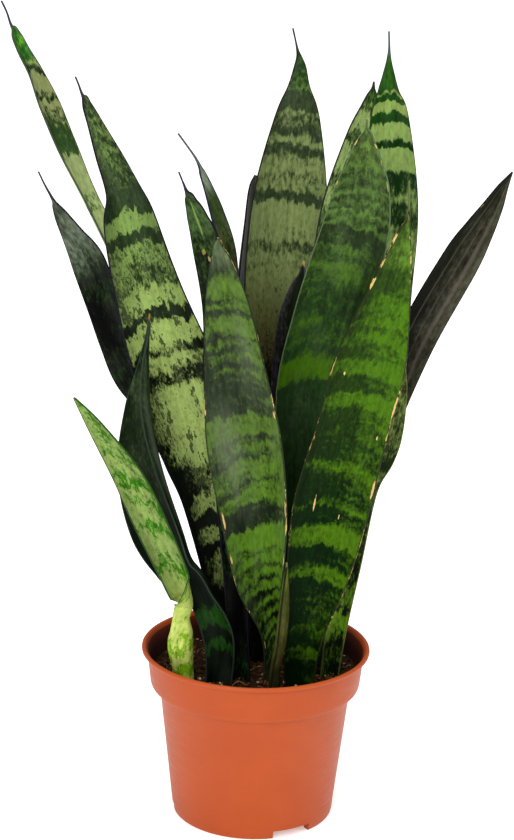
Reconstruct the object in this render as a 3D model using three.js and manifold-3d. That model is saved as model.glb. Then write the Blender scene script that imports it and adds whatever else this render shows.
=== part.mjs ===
// Potted black coral snake plant: nursery pot, potting soil and eighteen leaves.
// Millimetres, +Z up. The pot's axis is x = 0, y = 0 and its foot is z = 0 until the
// whole plant is centred at the end. The front of the plant looks along -Y.

import * as THREE from 'three';
import { mergeVertices } from 'three/addons/utils/BufferGeometryUtils.js';
import Module from 'manifold-3d';

const wasm = await Module();
wasm.setup();

// Pot
const RIM_RADIUS = 75;
const POT_HEIGHT = 114.9;
const FOOT_RADIUS = 53.4;
const WALL = 1.3;
const BAND_FOOT_Z = 88;
const BAND_FOOT_RADIUS = 69.1;
const BODY_TOP_RADIUS = 63;
const BAND_TOP_RADIUS = 71.4;
const LIP_FOOT_Z = 111.6;
const FLOOR_Z = 4.4;
const FOOT_RING_INNER = 47.5;
const POT_SIDES = 56;

// Openings in the pot's foot and floor
const NOTCH_WIDTH = 27;
const NOTCH_LENGTH = 16;
const NOTCH_HEIGHT = 5.5;
const NOTCH_AZIMUTHS = [-60, 60, 180];
const DRAIN_COUNT = 6;
const DRAIN_RADIUS = 4;
const DRAIN_SIDES = 12;
const DRAIN_RING = 35;

// Soil
const SOIL_Z = 97;
const SOIL_CROWN = 1.5;
const SOIL_RELIEF = 1.1;
const SOIL_SIDES = 44;
const SOIL_TOP_RINGS = 8;
const GAP = 0.3;

// Leaves
const LEAF_STEPS = 3;
const LEAF_ACROSS = [-1, -0.5, 0, 0.5, 1];
const ROOT_THICKNESS = 4.6;
const TIP_THICKNESS = 1.5;
const MARGIN_THICKNESS = 0.9;
const SPINE_WIDTH = 0.9;
const MARGIN_WAVE = 0.012;
const MARGIN_WAVE_RADIANS = 23;
const HOLE_CLEARANCE = 0.35;
const HOLE_TOP_Z = 106;

const SOIL_COLOUR = 0x2b1d16;
const POT_COLOUR = 0xc8582f;

// Every leaf is a channelled blade. A row is [x, y, z, width, facing, curl]: a point of the
// midrib, the blade's width along its own curve, the direction its inner face looks, in
// degrees from the front, turning to the right, and the angle that the section bends
// through. The first row is the cut end in the soil, the last is the point of the tip.
const LEAVES = [
  {
    name: 'leaf_far_left', colour: 0x6f9440,
    rows: [
      [-6, 34, 78, 16, 20, 150],
      [-21, 38, 161, 20, 30, 145],
      [-46, 47, 247, 21.5, 40, 140],
      [-76, 56, 319, 22.5, 50, 125],
      [-113, 68, 389, 16, 58, 110],
      [-132.5, 74, 427, 21, 55, 101],
      [-144, 79, 453.5, 21, 51, 94],
      [-152.5, 82, 475, 13.5, 46, 91],
      [-160, 85, 488.5, 10.5, 42, 90],
      [-164.5, 87, 498, 8.5, 38, 90],
      [-166, 88, 503, 4.5, 36, 90],
      [-168, 89, 505.5, 1.6, 35, 90],
      [-171, 91, 513.5, 0.9, 35, 90],
      [-174.5, 92, 520.5, 0.9, 35, 90],
    ],
  },
  {
    name: 'leaf_left_tall', colour: 0x76934a,
    rows: [
      [-15, -1, 80, 18, 10, 140],
      [-19, 2, 145, 33, 10, 135],
      [-31, 7, 212, 47, 10, 120],
      [-39.5, 9, 245, 57.5, 10, 110],
      [-49.5, 12, 277, 63, 10, 100],
      [-72, 19, 341, 48, 5, 85],
      [-85.5, 23, 389, 37, 0, 70],
      [-92, 26, 411, 24, 25, 55],
      [-103.5, 30, 435.5, 20, 48, 50],
      [-110.5, 32, 452.5, 13, 50, 50],
      [-114.5, 33, 462, 9, 50, 50],
      [-116, 34, 467, 5.5, 50, 50],
      [-117.5, 34, 469.5, 2, 50, 50],
      [-120, 35, 476, 0.9, 50, 50],
      [-122, 36, 480.5, 0.9, 50, 50],
    ],
  },
  {
    name: 'leaf_left_dark', colour: 0x2c3a2e,
    rows: [
      [-20, 20, 78, 14, -12, 130],
      [-20, 23, 136, 8, -12, 125],
      [-36.5, 29, 204, 8, -19, 110],
      [-65, 37, 257, 17.5, -24, 95],
      [-82.5, 42, 284, 29, -27, 85],
      [-93, 47, 307, 30.5, -29, 75],
      [-102.5, 51, 330, 29, -31, 67],
      [-113, 57, 357, 29.5, -34, 60],
      [-124, 60, 374, 20, -36, 60],
      [-132, 61, 386, 13, -37, 60],
      [-136.5, 62, 392.5, 6.5, -38, 60],
      [-138.5, 63, 396, 2.5, -38, 60],
      [-144, 65, 405, 1.1, -39, 60],
      [-148.5, 66, 414, 0.9, -40, 60],
    ],
  },
  {
    name: 'leaf_left_folded', colour: 0x26382a,
    rows: [
      [-24, -23, 80, 18, -10, 110],
      [-22.5, -24, 127, 24, -15, 110],
      [-32, -23, 161, 33.5, -52, 115],
      [-47, -22, 180, 49.5, -50, 118],
      [-55.5, -21, 200, 59.5, -47, 120],
      [-66.5, -18, 239, 57, -53, 125],
      [-71.5, -16, 278, 41, -67, 130],
      [-72.5, -15, 308, 18, -78, 130],
      [-72.3, -14, 322, 7, -70, 130],
      [-72, -14, 332, 2.4, -60, 130],
      [-71.5, -14, 340.5, 0.9, -57, 130],
    ],
  },
  {
    name: 'leaf_front_left', colour: 0x8fae5a,
    rows: [
      [-44, -28, 84, 16, -172, 160],
      [-45.5, -32.5, 104, 17.5, -172, 165],
      [-47.5, -36.5, 124, 24, -170, 175],
      [-46, -38.5, 136, 22, -160, 190],
      [-45, -38.5, 147, 19.5, -130, 220],
      [-42, -37, 155, 28, -95, 230],
      [-43.5, -35.5, 163, 28, -65, 215],
      [-49.5, -34, 172, 25.5, -15, 170],
      [-54.5, -35.5, 184, 26, -10, 145],
      [-63, -42.5, 205, 25.5, -8, 125],
      [-79, -52.5, 244, 23.5, -22, 75],
      [-99.5, -64, 279, 12.5, -20, 60],
      [-112, -70.5, 298, 3, -15, 50],
      [-114, -72, 301, 1.2, -15, 50],
    ],
  },
  {
    name: 'leaf_front_center', colour: 0x4d7a3f,
    rows: [
      [11, -22, 80, 16, -18, 160],
      [10.5, -27, 129, 14, -18, 155],
      [4, -32, 172, 39, -17, 140],
      [0, -39, 221, 53, -17, 120],
      [-7.5, -47, 270, 54.5, -16, 95],
      [-15, -55, 316, 41.5, -15, 70],
      [-22, -63, 362, 28, -15, 45],
      [-26, -68, 386.5, 14, -14, 40],
      [-28, -70, 394, 8.5, -14, 40],
      [-28.5, -71, 398.5, 5, -14, 40],
      [-28.5, -71, 401, 1.2, -14, 40],
      [-28.5, -71, 402, 0.9, -14, 40],
    ],
  },
  {
    name: 'leaf_small_center', colour: 0x2f5c2c,
    rows: [
      [-7, -19, 82, 14, -15, 120],
      [-12, -17, 151, 17, -15, 115],
      [-15.5, -18, 220, 24.5, -19, 105],
      [-21.5, -20, 287, 30, -22, 90],
      [-26.5, -23, 346, 24, -25, 75],
      [-35, -25, 387.5, 21.5, -28, 61],
      [-41.5, -26, 405.5, 15.5, -29, 59],
      [-45, -26, 413.5, 10.5, -29, 59],
      [-47, -27, 418, 7, -29, 60],
      [-49, -27, 421, 2.7, -29, 60],
      [-51.5, -28, 427, 1, -29, 60],
      [-54, -28, 433, 0.9, -30, 60],
    ],
  },
  {
    name: 'leaf_slim_curved', colour: 0x4c6a34,
    rows: [
      [-5, 23, 80, 13, 8, 120],
      [-9, 24, 142, 14, 8, 115],
      [-14, 25, 211, 13, 13, 110],
      [-18.5, 23, 278, 12, 18, 100],
      [-21, 19, 331, 12, 22, 90],
      [-23.5, 15, 373, 11, 25, 75],
      [-31, 13, 399, 10, 26, 71],
      [-36.5, 12, 415, 7, 28, 70],
      [-40.5, 12, 425, 4.5, 28, 70],
      [-42, 12, 429, 2.4, 29, 70],
      [-45, 12, 435, 1.3, 29, 70],
      [-50, 12, 442, 0.9, 30, 70],
      [-56, 12, 450, 0.9, 30, 70],
    ],
  },
  {
    name: 'leaf_back_sliver', colour: 0x1d2a1c,
    rows: [
      [-3, 47, 78, 15, 62, 90],
      [-6, 51, 143, 19, 65, 85],
      [-10, 59, 211, 23, 70, 70],
      [-15, 67, 278, 26, 72, 55],
      [-16, 76, 338, 27, 75, 45],
      [-12, 83, 383, 26, 75, 35],
      [-9.5, 87, 403, 17, 70, 30],
      [-7.5, 88, 411, 5, 70, 30],
    ],
  },
  {
    name: 'leaf_back_center', colour: 0x66754a,
    rows: [
      [8, 32, 78, 17, 8, 110],
      [10, 37, 142, 32, 8, 105],
      [11, 44, 209, 45, 10, 100],
      [14, 52, 277, 54, 12, 85],
      [11, 60, 342, 57.5, 14, 70],
      [14, 68, 400, 52, 15, 55],
      [18, 75, 451.5, 31.5, 16, 50],
      [19, 78, 472, 15.5, 17, 50],
      [19.5, 79, 483.5, 9, 18, 50],
      [19, 80, 489.5, 4.5, 18, 50],
      [18, 80, 494, 1.9, 18, 50],
      [16.5, 81, 500.5, 0.9, 18, 50],
      [14.5, 82, 508.5, 0.9, 18, 50],
    ],
  },
  {
    name: 'leaf_back_right', colour: 0x7d9a4e,
    rows: [
      [24, 20, 80, 15, 12, 120],
      [27, 20, 145, 19, 12, 115],
      [31, 23, 214, 24, 16, 110],
      [35.5, 27, 282, 27, 20, 100],
      [39.5, 32, 348, 30.5, 24, 90],
      [45, 38, 398, 30, 27, 75],
      [57, 44, 443.5, 24.5, 30, 70],
      [63, 47, 463.5, 14.5, 31, 70],
      [65, 48, 471.5, 8.5, 32, 70],
      [66, 48, 476, 3, 32, 70],
      [66.5, 49, 480, 0.9, 32, 70],
    ],
  },
  {
    name: 'leaf_right_center', colour: 0x3d6a3a,
    rows: [
      [26, -7, 82, 15, -18, 120],
      [30, -7, 150, 16.5, -18, 115],
      [29, -7, 218, 29, -17, 105],
      [31, -7, 285, 46, -16, 85],
      [41.5, -6, 337, 47, -16, 70],
      [55.5, -5, 389, 44.5, -15, 50],
      [60, -4, 421.5, 35.5, -14, 42],
      [60.5, -4, 439, 21.5, -14, 39],
      [60.5, -3, 448, 14.5, -14, 39],
      [61, -3, 454.5, 7.5, -14, 40],
      [60.5, -3, 459, 2.1, -14, 40],
      [60.5, -3, 464, 0.9, -14, 40],
    ],
  },
  {
    name: 'leaf_right_tall', colour: 0x5f8c3c,
    rows: [
      [44, 11, 80, 15, 15, 110],
      [50, 12, 143, 22, 15, 105],
      [58, 16, 211, 34, 17, 95],
      [68, 21, 278, 45.5, 18, 75],
      [71.5, 26, 343, 47, 20, 60],
      [78, 32, 401, 39.5, 21, 40],
      [76, 38, 458, 27, 23, 30],
      [75, 40, 475, 15.5, 24, 29],
      [75, 41, 485, 9, 24, 30],
      [75, 42, 491.5, 5, 24, 30],
      [75, 42, 496, 2.9, 24, 30],
      [75, 43, 502.5, 1.3, 24, 30],
      [74.5, 44, 512.5, 0.9, 24, 30],
    ],
  },
  {
    name: 'leaf_front_right', colour: 0x2f6b2a,
    rows: [
      [28, -26, 82, 18, 2, 110],
      [29.5, -29, 130, 28, 2, 105],
      [37, -35, 180, 45, 5, 100],
      [44, -42, 230, 53.5, 7, 90],
      [54.5, -50, 279, 49.5, 10, 75],
      [64, -57, 325, 47.5, 12, 65],
      [74.5, -64, 371, 27.5, 14, 50],
      [79.5, -68, 395, 16, 15, 50],
      [82, -70, 408.5, 8, 16, 50],
      [84, -72, 415, 3.1, 17, 50],
      [84.5, -73, 420, 1.1, 17, 50],
      [84, -74, 429.5, 1, 17, 50],
      [83.5, -75, 439.5, 0.9, 18, 50],
    ],
  },
  {
    name: 'leaf_far_right', colour: 0x2d2b28,
    rows: [
      [43, 27, 78, 14, 22, 130],
      [51, 31, 131, 14, 22, 125],
      [63, 37, 192, 17.5, 24, 115],
      [78, 47, 251, 24, 26, 100],
      [97.5, 57, 310, 34, 28, 85],
      [125, 68, 360, 33, 30, 70],
      [138.5, 72, 382.5, 25.5, 31, 69],
      [147.5, 74, 397.5, 17.5, 31, 70],
      [153, 76, 407.5, 10.5, 32, 70],
      [156.5, 77, 413, 6, 32, 70],
      [160.5, 78, 419, 0.9, 32, 70],
    ],
  },
  {
    name: 'leaf_right_rear', colour: 0x274a24,
    rows: [
      [46, -7, 82, 15, 25, 120],
      [50, -7, 128, 18.5, 25, 115],
      [56, -8, 178, 23.5, 28, 105],
      [65.5, -10, 227, 22, 32, 90],
      [74, -11, 250, 25.5, 33, 82],
      [79.5, -12, 268, 24, 34, 75],
      [84.5, -13, 294, 16, 36, 60],
      [88, -14, 314, 3, 38, 60],
      [88, -14, 320, 1.2, 38, 60],
    ],
  },
  {
    name: 'leaf_center_folded', colour: 0x3a3b36,
    rows: [
      [6, 9, 80, 14, -40, 120],
      [4, 12, 143, 22, -45, 120],
      [4.5, 14, 205, 28, -50, 115],
      [17.5, 15, 259, 31, -55, 115],
      [18.5, 16, 299, 29, -55, 110],
      [20.5, 16, 327, 26, -51, 110],
      [22, 16, 347, 17.5, -50, 110],
      [24.5, 16, 360, 8, -50, 110],
      [24.5, 16, 370, 0.9, -50, 110],
    ],
  },
  {
    name: 'leaf_basal_small', colour: 0x6a7440,
    rows: [
      [11, -43, 86, 13, 60, 120],
      [11, -46, 115, 13, 60, 115],
      [14, -50, 137, 14, 60, 110],
      [16, -53, 165, 12, 60, 105],
      [18, -54, 188, 2, 60, 100],
      [18, -54, 192, 1.2, 60, 100],
    ],
  },
];

const radians = THREE.MathUtils.degToRad;

// Smooth value of every column of a leaf's rows at a fractional row number.
function valueAlong(rows, position) {
  const last = rows.length - 1;
  const index = Math.min(Math.max(Math.floor(position), 0), last - 1);
  const u = position - index;
  const here = rows[index];
  const next = rows[index + 1];
  const before = rows[index - 1];
  const after = rows[index + 2];
  return here.map((start, column) => {
    const end = next[column];
    const slopeIn = before ? (end - before[column]) / 2 : end - start;
    const slopeOut = after ? (after[column] - start) / 2 : end - start;
    return start * (2 * u ** 3 - 3 * u ** 2 + 1) + slopeIn * (u ** 3 - 2 * u ** 2 + u)
      + end * (3 * u ** 2 - 2 * u ** 3) + slopeOut * (u ** 3 - u ** 2);
  });
}

// The blade at a fractional row number: its midrib, axes, width, curl and thickness.
function bladeStation(leaf, position) {
  const last = leaf.rows.length - 1;
  const [x, y, z, rowWidth, facing, curl] = valueAlong(leaf.rows, position);
  const step = 0.02;
  const below = valueAlong(leaf.rows, Math.max(position - step, 0));
  const above = valueAlong(leaf.rows, Math.min(position + step, last));
  const up = new THREE.Vector3(above[0] - below[0], above[1] - below[1], above[2] - below[2]).normalize();
  const face = new THREE.Vector3(Math.sin(radians(facing)), -Math.cos(radians(facing)), 0);
  face.addScaledVector(up, -face.dot(up)).normalize();
  const side = new THREE.Vector3().crossVectors(up, face);
  const share = Math.max(position / last, 0);
  const wave = 1 + MARGIN_WAVE * Math.sin(MARGIN_WAVE_RADIANS * share + leaf.name.length);
  return {
    midrib: new THREE.Vector3(x, y, z),
    face,
    side,
    width: Math.max(rowWidth * wave, SPINE_WIDTH),
    curl: radians(curl),
    thickness: THREE.MathUtils.lerp(ROOT_THICKNESS, TIP_THICKNESS, Math.sqrt(share)),
  };
}

// One ring of the blade's skin: the inner face from left to right, then the back from
// right to left. grow widens it all round, for the hole that the blade stands in.
function bladeRing(leaf, position, grow) {
  const { midrib, face, side, width, curl, thickness } = bladeStation(leaf, position);
  const radius = width / curl;
  const reach = 1 + 2 * grow / width;
  const skin = (across, sign) => {
    const turn = across * reach * curl / 2;
    const half = (MARGIN_THICKNESS + (thickness - MARGIN_THICKNESS) * (1 - across ** 2)) / 2;
    const limit = Math.min(half, width / 2) + grow;
    const depth = radius * (1 - Math.cos(turn)) + sign * limit * Math.cos(turn);
    const offset = radius * Math.sin(turn) - sign * limit * Math.sin(turn);
    return midrib.clone().addScaledVector(face, depth).addScaledVector(side, offset);
  };
  const front = LEAF_ACROSS.map((across) => skin(across, 1));
  const back = [...LEAF_ACROSS].reverse().map((across) => skin(across, -1));
  return [...front, ...back];
}

// Closed blade from one row number to another. Both faces are split along the same
// diagonals, so a thin twisted blade never cuts through itself.
function bladeGeometry(leaf, start, end, count, grow) {
  const across = LEAF_ACROSS.length;
  const around = 2 * across;
  const points = [];
  for (let ring = 0; ring <= count; ring += 1) {
    const position = THREE.MathUtils.lerp(start, end, ring / count);
    points.push(...bladeRing(leaf, position, grow));
  }
  const faces = [];
  for (let ring = 0; ring < count; ring += 1) {
    for (let i = 0; i < around; i += 1) {
      const a = ring * around + i;
      const b = ring * around + (i + 1) % around;
      const c = b + around;
      const d = a + around;
      if (i < across) {
        faces.push(a, b, c, a, c, d);
      } else {
        faces.push(a, b, d, b, c, d);
      }
    }
  }
  const top = count * around;
  for (let i = 0; i < across - 1; i += 1) {
    const opposite = around - 1 - i;
    faces.push(i, opposite, i + 1, i + 1, opposite, opposite - 1);
    faces.push(top + i, top + i + 1, top + opposite, top + i + 1, top + opposite - 1, top + opposite);
  }
  return closedGeometry(points, faces);
}

function closedGeometry(points, faces) {
  const geometry = new THREE.BufferGeometry();
  const coordinates = points.flatMap((point) => [point.x, point.y, point.z]);
  geometry.setAttribute('position', new THREE.Float32BufferAttribute(coordinates, 3));
  geometry.setIndex(faces);
  return geometry;
}

function leafGeometry(leaf) {
  const last = leaf.rows.length - 1;
  return bladeGeometry(leaf, 0, last, last * LEAF_STEPS, 0);
}

// The plug of soil that a leaf's foot takes the place of, from just under its cut end
// to above the soil.
function holeGeometry(leaf) {
  const [root, next] = leaf.rows;
  const above = (HOLE_TOP_Z - root[2]) / (next[2] - root[2]);
  const below = -HOLE_CLEARANCE / (next[2] - root[2]);
  return bladeGeometry(leaf, below, above, 3, HOLE_CLEARANCE);
}

// Solid to cut or join with, from a closed three.js geometry.
function toSolid(geometry) {
  const plain = geometry.clone();
  plain.deleteAttribute('normal');
  plain.deleteAttribute('uv');
  const merged = mergeVertices(plain, 1e-4);
  return new wasm.Manifold(new wasm.Mesh({
    numProp: 3,
    vertProperties: new Float32Array(merged.attributes.position.array),
    triVerts: new Uint32Array(merged.index.array),
  }));
}

function toGeometry(solid) {
  const { vertProperties, triVerts } = solid.getMesh();
  const geometry = new THREE.BufferGeometry();
  geometry.setAttribute('position', new THREE.Float32BufferAttribute(vertProperties, 3));
  geometry.setIndex([...triVerts]);
  return geometry;
}

// Pot wall, lip, band, step, tapered body and raised floor as one closed profile.
function potProfile() {
  const outside = [
    [FOOT_RADIUS - 1.4, 0],
    [FOOT_RADIUS - 0.5, 0.8],
    [FOOT_RADIUS, 2.5],
    [BODY_TOP_RADIUS, BAND_FOOT_Z],
    [BAND_FOOT_RADIUS - 2.5, BAND_FOOT_Z],
    [BAND_FOOT_RADIUS - 0.9, BAND_FOOT_Z + 1.1],
    [BAND_FOOT_RADIUS, BAND_FOOT_Z + 3.5],
    [BAND_TOP_RADIUS, LIP_FOOT_Z],
    [RIM_RADIUS - 1, LIP_FOOT_Z + 0.4],
    [RIM_RADIUS, POT_HEIGHT - 1.5],
    [RIM_RADIUS - 0.4, POT_HEIGHT - 0.5],
    [RIM_RADIUS - 1.4, POT_HEIGHT],
  ];
  const inside = [
    [RIM_RADIUS - 2.8, POT_HEIGHT - 0.6],
    [BAND_TOP_RADIUS - WALL + 0.4, LIP_FOOT_Z],
    [BAND_FOOT_RADIUS - WALL, BAND_FOOT_Z + WALL + 2.6],
    [BODY_TOP_RADIUS - WALL, BAND_FOOT_Z + WALL],
    [FOOT_RADIUS - WALL - 0.4, FLOOR_Z + WALL],
    [0, FLOOR_Z + WALL],
    [0, FLOOR_Z],
    [FOOT_RING_INNER - 1, FLOOR_Z],
    [FOOT_RING_INNER, FLOOR_Z - 1],
    [FOOT_RING_INNER, 0],
  ];
  const points = [...outside, ...inside].map(([radius, z]) => new THREE.Vector2(radius, z));
  points.push(points[0].clone());
  return points;
}

function turned(profile, sides) {
  const geometry = new THREE.LatheGeometry(profile, sides);
  geometry.rotateX(Math.PI / 2);
  return geometry;
}

function potGeometry() {
  let pot = toSolid(turned(potProfile(), POT_SIDES));
  for (const azimuth of NOTCH_AZIMUTHS) {
    const notch = new THREE.BoxGeometry(NOTCH_LENGTH, NOTCH_WIDTH, 2 * NOTCH_HEIGHT);
    notch.translate(FOOT_RADIUS - 3, 0, 0);
    notch.rotateZ(radians(azimuth));
    pot = pot.subtract(toSolid(notch));
  }
  for (let i = 0; i < DRAIN_COUNT; i += 1) {
    const drain = new THREE.CylinderGeometry(DRAIN_RADIUS, DRAIN_RADIUS, 6 * WALL, DRAIN_SIDES);
    drain.rotateX(Math.PI / 2);
    drain.translate(DRAIN_RING, 0, FLOOR_Z);
    drain.rotateZ(2 * Math.PI * (i + 0.5) / DRAIN_COUNT);
    pot = pot.subtract(toSolid(drain));
  }
  return toGeometry(pot);
}

// Height of the soil's surface: a low crown with lumps that fade out at the wall.
function soilHeight(x, y, share) {
  const lumps = Math.sin(0.21 * x + 1.3) * Math.cos(0.17 * y) + 0.6 * Math.sin(0.43 * x - 0.37 * y + 2)
    + 0.5 * Math.cos(0.31 * x + 0.53 * y);
  return SOIL_Z + SOIL_CROWN * (1 - share ** 2) + SOIL_RELIEF * lumps * (1 - share ** 6);
}

function soilGeometry() {
  const side = [
    [BAND_FOOT_RADIUS - WALL + 0.3, SOIL_Z],
    [BAND_FOOT_RADIUS - WALL - GAP, BAND_FOOT_Z + WALL + 2.8],
    [BODY_TOP_RADIUS - WALL - GAP, BAND_FOOT_Z + WALL + 0.3],
    [FOOT_RADIUS - WALL - GAP - 0.4, FLOOR_Z + WALL + GAP],
  ];
  const points = [new THREE.Vector3(0, 0, soilHeight(0, 0, 0))];
  const ring = (radius, heightAt) => {
    for (let i = 0; i < SOIL_SIDES; i += 1) {
      const angle = 2 * Math.PI * i / SOIL_SIDES;
      const x = radius * Math.cos(angle);
      const y = radius * Math.sin(angle);
      points.push(new THREE.Vector3(x, y, heightAt(x, y)));
    }
  };
  const topRadius = side[0][0];
  for (let i = 1; i < SOIL_TOP_RINGS; i += 1) {
    const share = i / SOIL_TOP_RINGS;
    ring(topRadius * share, (x, y) => soilHeight(x, y, share));
  }
  side.forEach(([radius, z]) => ring(radius, () => z));
  points.push(new THREE.Vector3(0, 0, side.at(-1)[1]));
  const rings = SOIL_TOP_RINGS - 1 + side.length;
  const faces = [];
  for (let i = 0; i < SOIL_SIDES; i += 1) {
    const next = (i + 1) % SOIL_SIDES;
    faces.push(0, 1 + i, 1 + next);
    for (let j = 0; j < rings - 1; j += 1) {
      const inner = 1 + j * SOIL_SIDES;
      const outer = inner + SOIL_SIDES;
      faces.push(inner + i, outer + i, outer + next, inner + i, outer + next, inner + next);
    }
    const foot = 1 + (rings - 1) * SOIL_SIDES;
    faces.push(foot + i, points.length - 1, foot + next);
  }
  let soil = toSolid(closedGeometry(points, faces));
  for (const leaf of LEAVES) {
    soil = soil.subtract(toSolid(holeGeometry(leaf)));
  }
  return toGeometry(soil);
}

function piece(name, geometry, colour, roughness) {
  const material = new THREE.MeshStandardMaterial({ color: colour, roughness, metalness: 0 });
  const mesh = new THREE.Mesh(geometry, material);
  mesh.name = name;
  return mesh;
}

const plant = new THREE.Group();
plant.add(piece('pot', potGeometry(), POT_COLOUR, 0.5));
plant.add(piece('soil', soilGeometry(), SOIL_COLOUR, 0.95));
for (const leaf of LEAVES) {
  plant.add(piece(leaf.name, leafGeometry(leaf), leaf.colour, 0.35));
}

// The finished part stands with the centre of its own box over the origin.
const box = new THREE.Box3().setFromObject(plant);
const centre = box.getCenter(new THREE.Vector3());
plant.position.set(-centre.x, -centre.y, -box.min.z);

export default plant;
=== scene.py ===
"""Looks for the snake plant: fine blades with their marks, crumbled soil and the moulded pot.

The sizes named below and the tables of the leaves are millimetres from the pot's axis and the
ground, the same driving dimensions that the frame was built from. MM turns them into the
frame's metres. Lengths in the materials and the studio are metres.
"""

import math
import random

import bpy
from mathutils import Matrix, Vector


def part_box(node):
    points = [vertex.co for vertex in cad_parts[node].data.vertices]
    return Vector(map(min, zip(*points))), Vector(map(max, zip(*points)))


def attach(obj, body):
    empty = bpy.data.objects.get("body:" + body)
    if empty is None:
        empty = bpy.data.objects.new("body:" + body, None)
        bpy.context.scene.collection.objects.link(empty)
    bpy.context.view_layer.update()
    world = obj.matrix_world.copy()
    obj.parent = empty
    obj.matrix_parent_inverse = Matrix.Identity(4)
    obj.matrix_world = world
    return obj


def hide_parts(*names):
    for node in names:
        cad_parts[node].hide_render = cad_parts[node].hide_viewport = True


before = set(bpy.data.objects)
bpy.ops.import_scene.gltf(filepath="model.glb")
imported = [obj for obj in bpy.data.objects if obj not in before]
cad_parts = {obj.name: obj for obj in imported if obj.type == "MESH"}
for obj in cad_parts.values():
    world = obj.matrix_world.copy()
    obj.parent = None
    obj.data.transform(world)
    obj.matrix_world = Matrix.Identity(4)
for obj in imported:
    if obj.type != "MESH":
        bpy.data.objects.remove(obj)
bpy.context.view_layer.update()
MM = 0.001

# Camera, and the height of its picture and sensor
CAMERA_AIM = (-2.7, 0.0, 268.8)
CAMERA_DISTANCE = 1500.0
CAMERA_ELEVATION = math.radians(16.28)
CAMERA_ROLL = math.radians(1.362)
FOCAL_PIXELS = 2345.2
PHOTO_HEIGHT_PIXELS = 840
SENSOR_HEIGHT = 24.0

# Studio, in metres. A softbox is its place, the length of its sides and its power.
FLOOR_REACH = 14.0
FLOOR_GLOW = 0.35
SOFTBOX_AIM = (0, 0, 0.25)
SOFTBOXES = {
    "front softbox": ((-0.8, -2.3, 1.5), 1.4, 47),
    "side softbox": ((2.0, -0.6, 1.3), 1.2, 12),
}
OVERHEAD_PLACE = (0, 0, 3)
OVERHEAD_POWER = 2.5
OVERHEAD_SPREAD = math.radians(60)
SURROUNDING_LIGHT = 0.32
WHITE = (1.0, 1.0, 1.0, 1.0)

# Pot
POT_SIDES = 144
POT_SHARP_ANGLE = math.radians(38)
RIM_RADIUS = 75.0
POT_HEIGHT = 114.9
FOOT_RADIUS = 53.4
WALL = 1.3
BAND_FOOT_Z = 88.0
BAND_FOOT_RADIUS = 69.1
BODY_TOP_RADIUS = 63.0
BAND_TOP_RADIUS = 71.4
LIP_FOOT_Z = 111.6
FLOOR_Z = 4.4
FOOT_RING_INNER = 47.5
NOTCH_WIDTH = 27.0
NOTCH_LENGTH = 16.0
NOTCH_HEIGHT = 5.5
NOTCH_RADIUS = FOOT_RADIUS - 3
NOTCH_AZIMUTHS = (-60, 60, 180)
DRAIN_COUNT = 6
DRAIN_RADIUS = 4.0
DRAIN_RING = 35.0
DRAIN_SIDES = 20

# Soil
SOIL_Z = 97.0
SOIL_CROWN = 1.5
SOIL_RELIEF = 1.1
SOIL_RADIUS = BAND_FOOT_RADIUS - WALL + 0.3

# Loose grains on the soil; a size is given as smallest and largest. The higher SMALLNESS and
# DARKNESS are, the more of the crumbs are small and dark.
GRAIN_SEED = 41
CRUMB_COUNT = 1500
CRUMB_SIZE = (0.5, 2.0)
CRUMB_FLATNESS = (0.6, 0.95)
SMALLNESS = 2.2
DARKNESS = 1.6
PALE_CRUMB_SHARE = 0.05
CHIP_COUNT = 60
CHIP_SIZE = (0.7, 1.7)
CHIP_FLATNESS = 0.35
FIBRE_COUNT = 110
FIBRE_LENGTH = (4, 11)
FIBRE_THICKNESS = (0.12, 0.3)
FIBRE_STEPS = 5

# Leaves: steps of a blade from row to row, columns from margin to margin, the part of a row over
# which the midrib's direction is taken, and the blade's thickness and the wave of its margins.
BLADE_STEPS = 10
BLADE_COLUMNS = 18
MIDRIB_STEP = 0.02
ROOT_THICKNESS = 4.6
TIP_THICKNESS = 1.5
MARGIN_THICKNESS = 0.9
SPINE_WIDTH = 0.9
MARGIN_WAVE = 0.012
MARGIN_WAVE_RADIANS = 23

# Leaf skin. A grain is its spacing across, along and through the skin in metres, its detail and
# a shift that parts it from the others; the next two shifts part the leaves and their faces. A
# fade is the height over which a tilt, the rims or the spine's tone come in or go out.
STREAK_GRAINS = {
    "Teeth": ((0.0038, 0.011, 1.0), 4.0, 0.0),
    "Blot": ((0.010, 0.024, 1.0), 2.0, 3.1),
    "Fleck": ((0.0010, 0.0030, 1.0), 2.0, 7.7),
    "Mottle": ((0.0024, 0.0050, 1.0), 3.0, 23.3),
    "Thread": ((0.0030, 0.070, 1.0), 4.0, 11.3),
    "Cloud": ((0.014, 0.050, 1.0), 3.0, 17.9),
}
LINE_GRAIN = ((0.018, 0.0034, 1.0), 2.0, 29.3)
LEAF_SHIFT = 3.7
FACE_SHIFT = 0.5
TILT_FADE = 0.03
RIMS_FADE = 0.04
SPINE_FADE = 0.003
CLOUDING = 0.14
VEIN_REACH = 1.6
VEIN_TONES = {"Dark": (0.5, 1.55), "Light": (0.68, 1.3)}
SPECK_DARKENING = 0.85
MARGIN_WANDER = 0.0002
DASH_REACH = (0.0005, 0.0010)
DASH_TONE = "#c4a566"
SCAR_TONE = "#c9a86a"
SCAR_CORE = 0.8
RAMP_STOPS = 30

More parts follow.
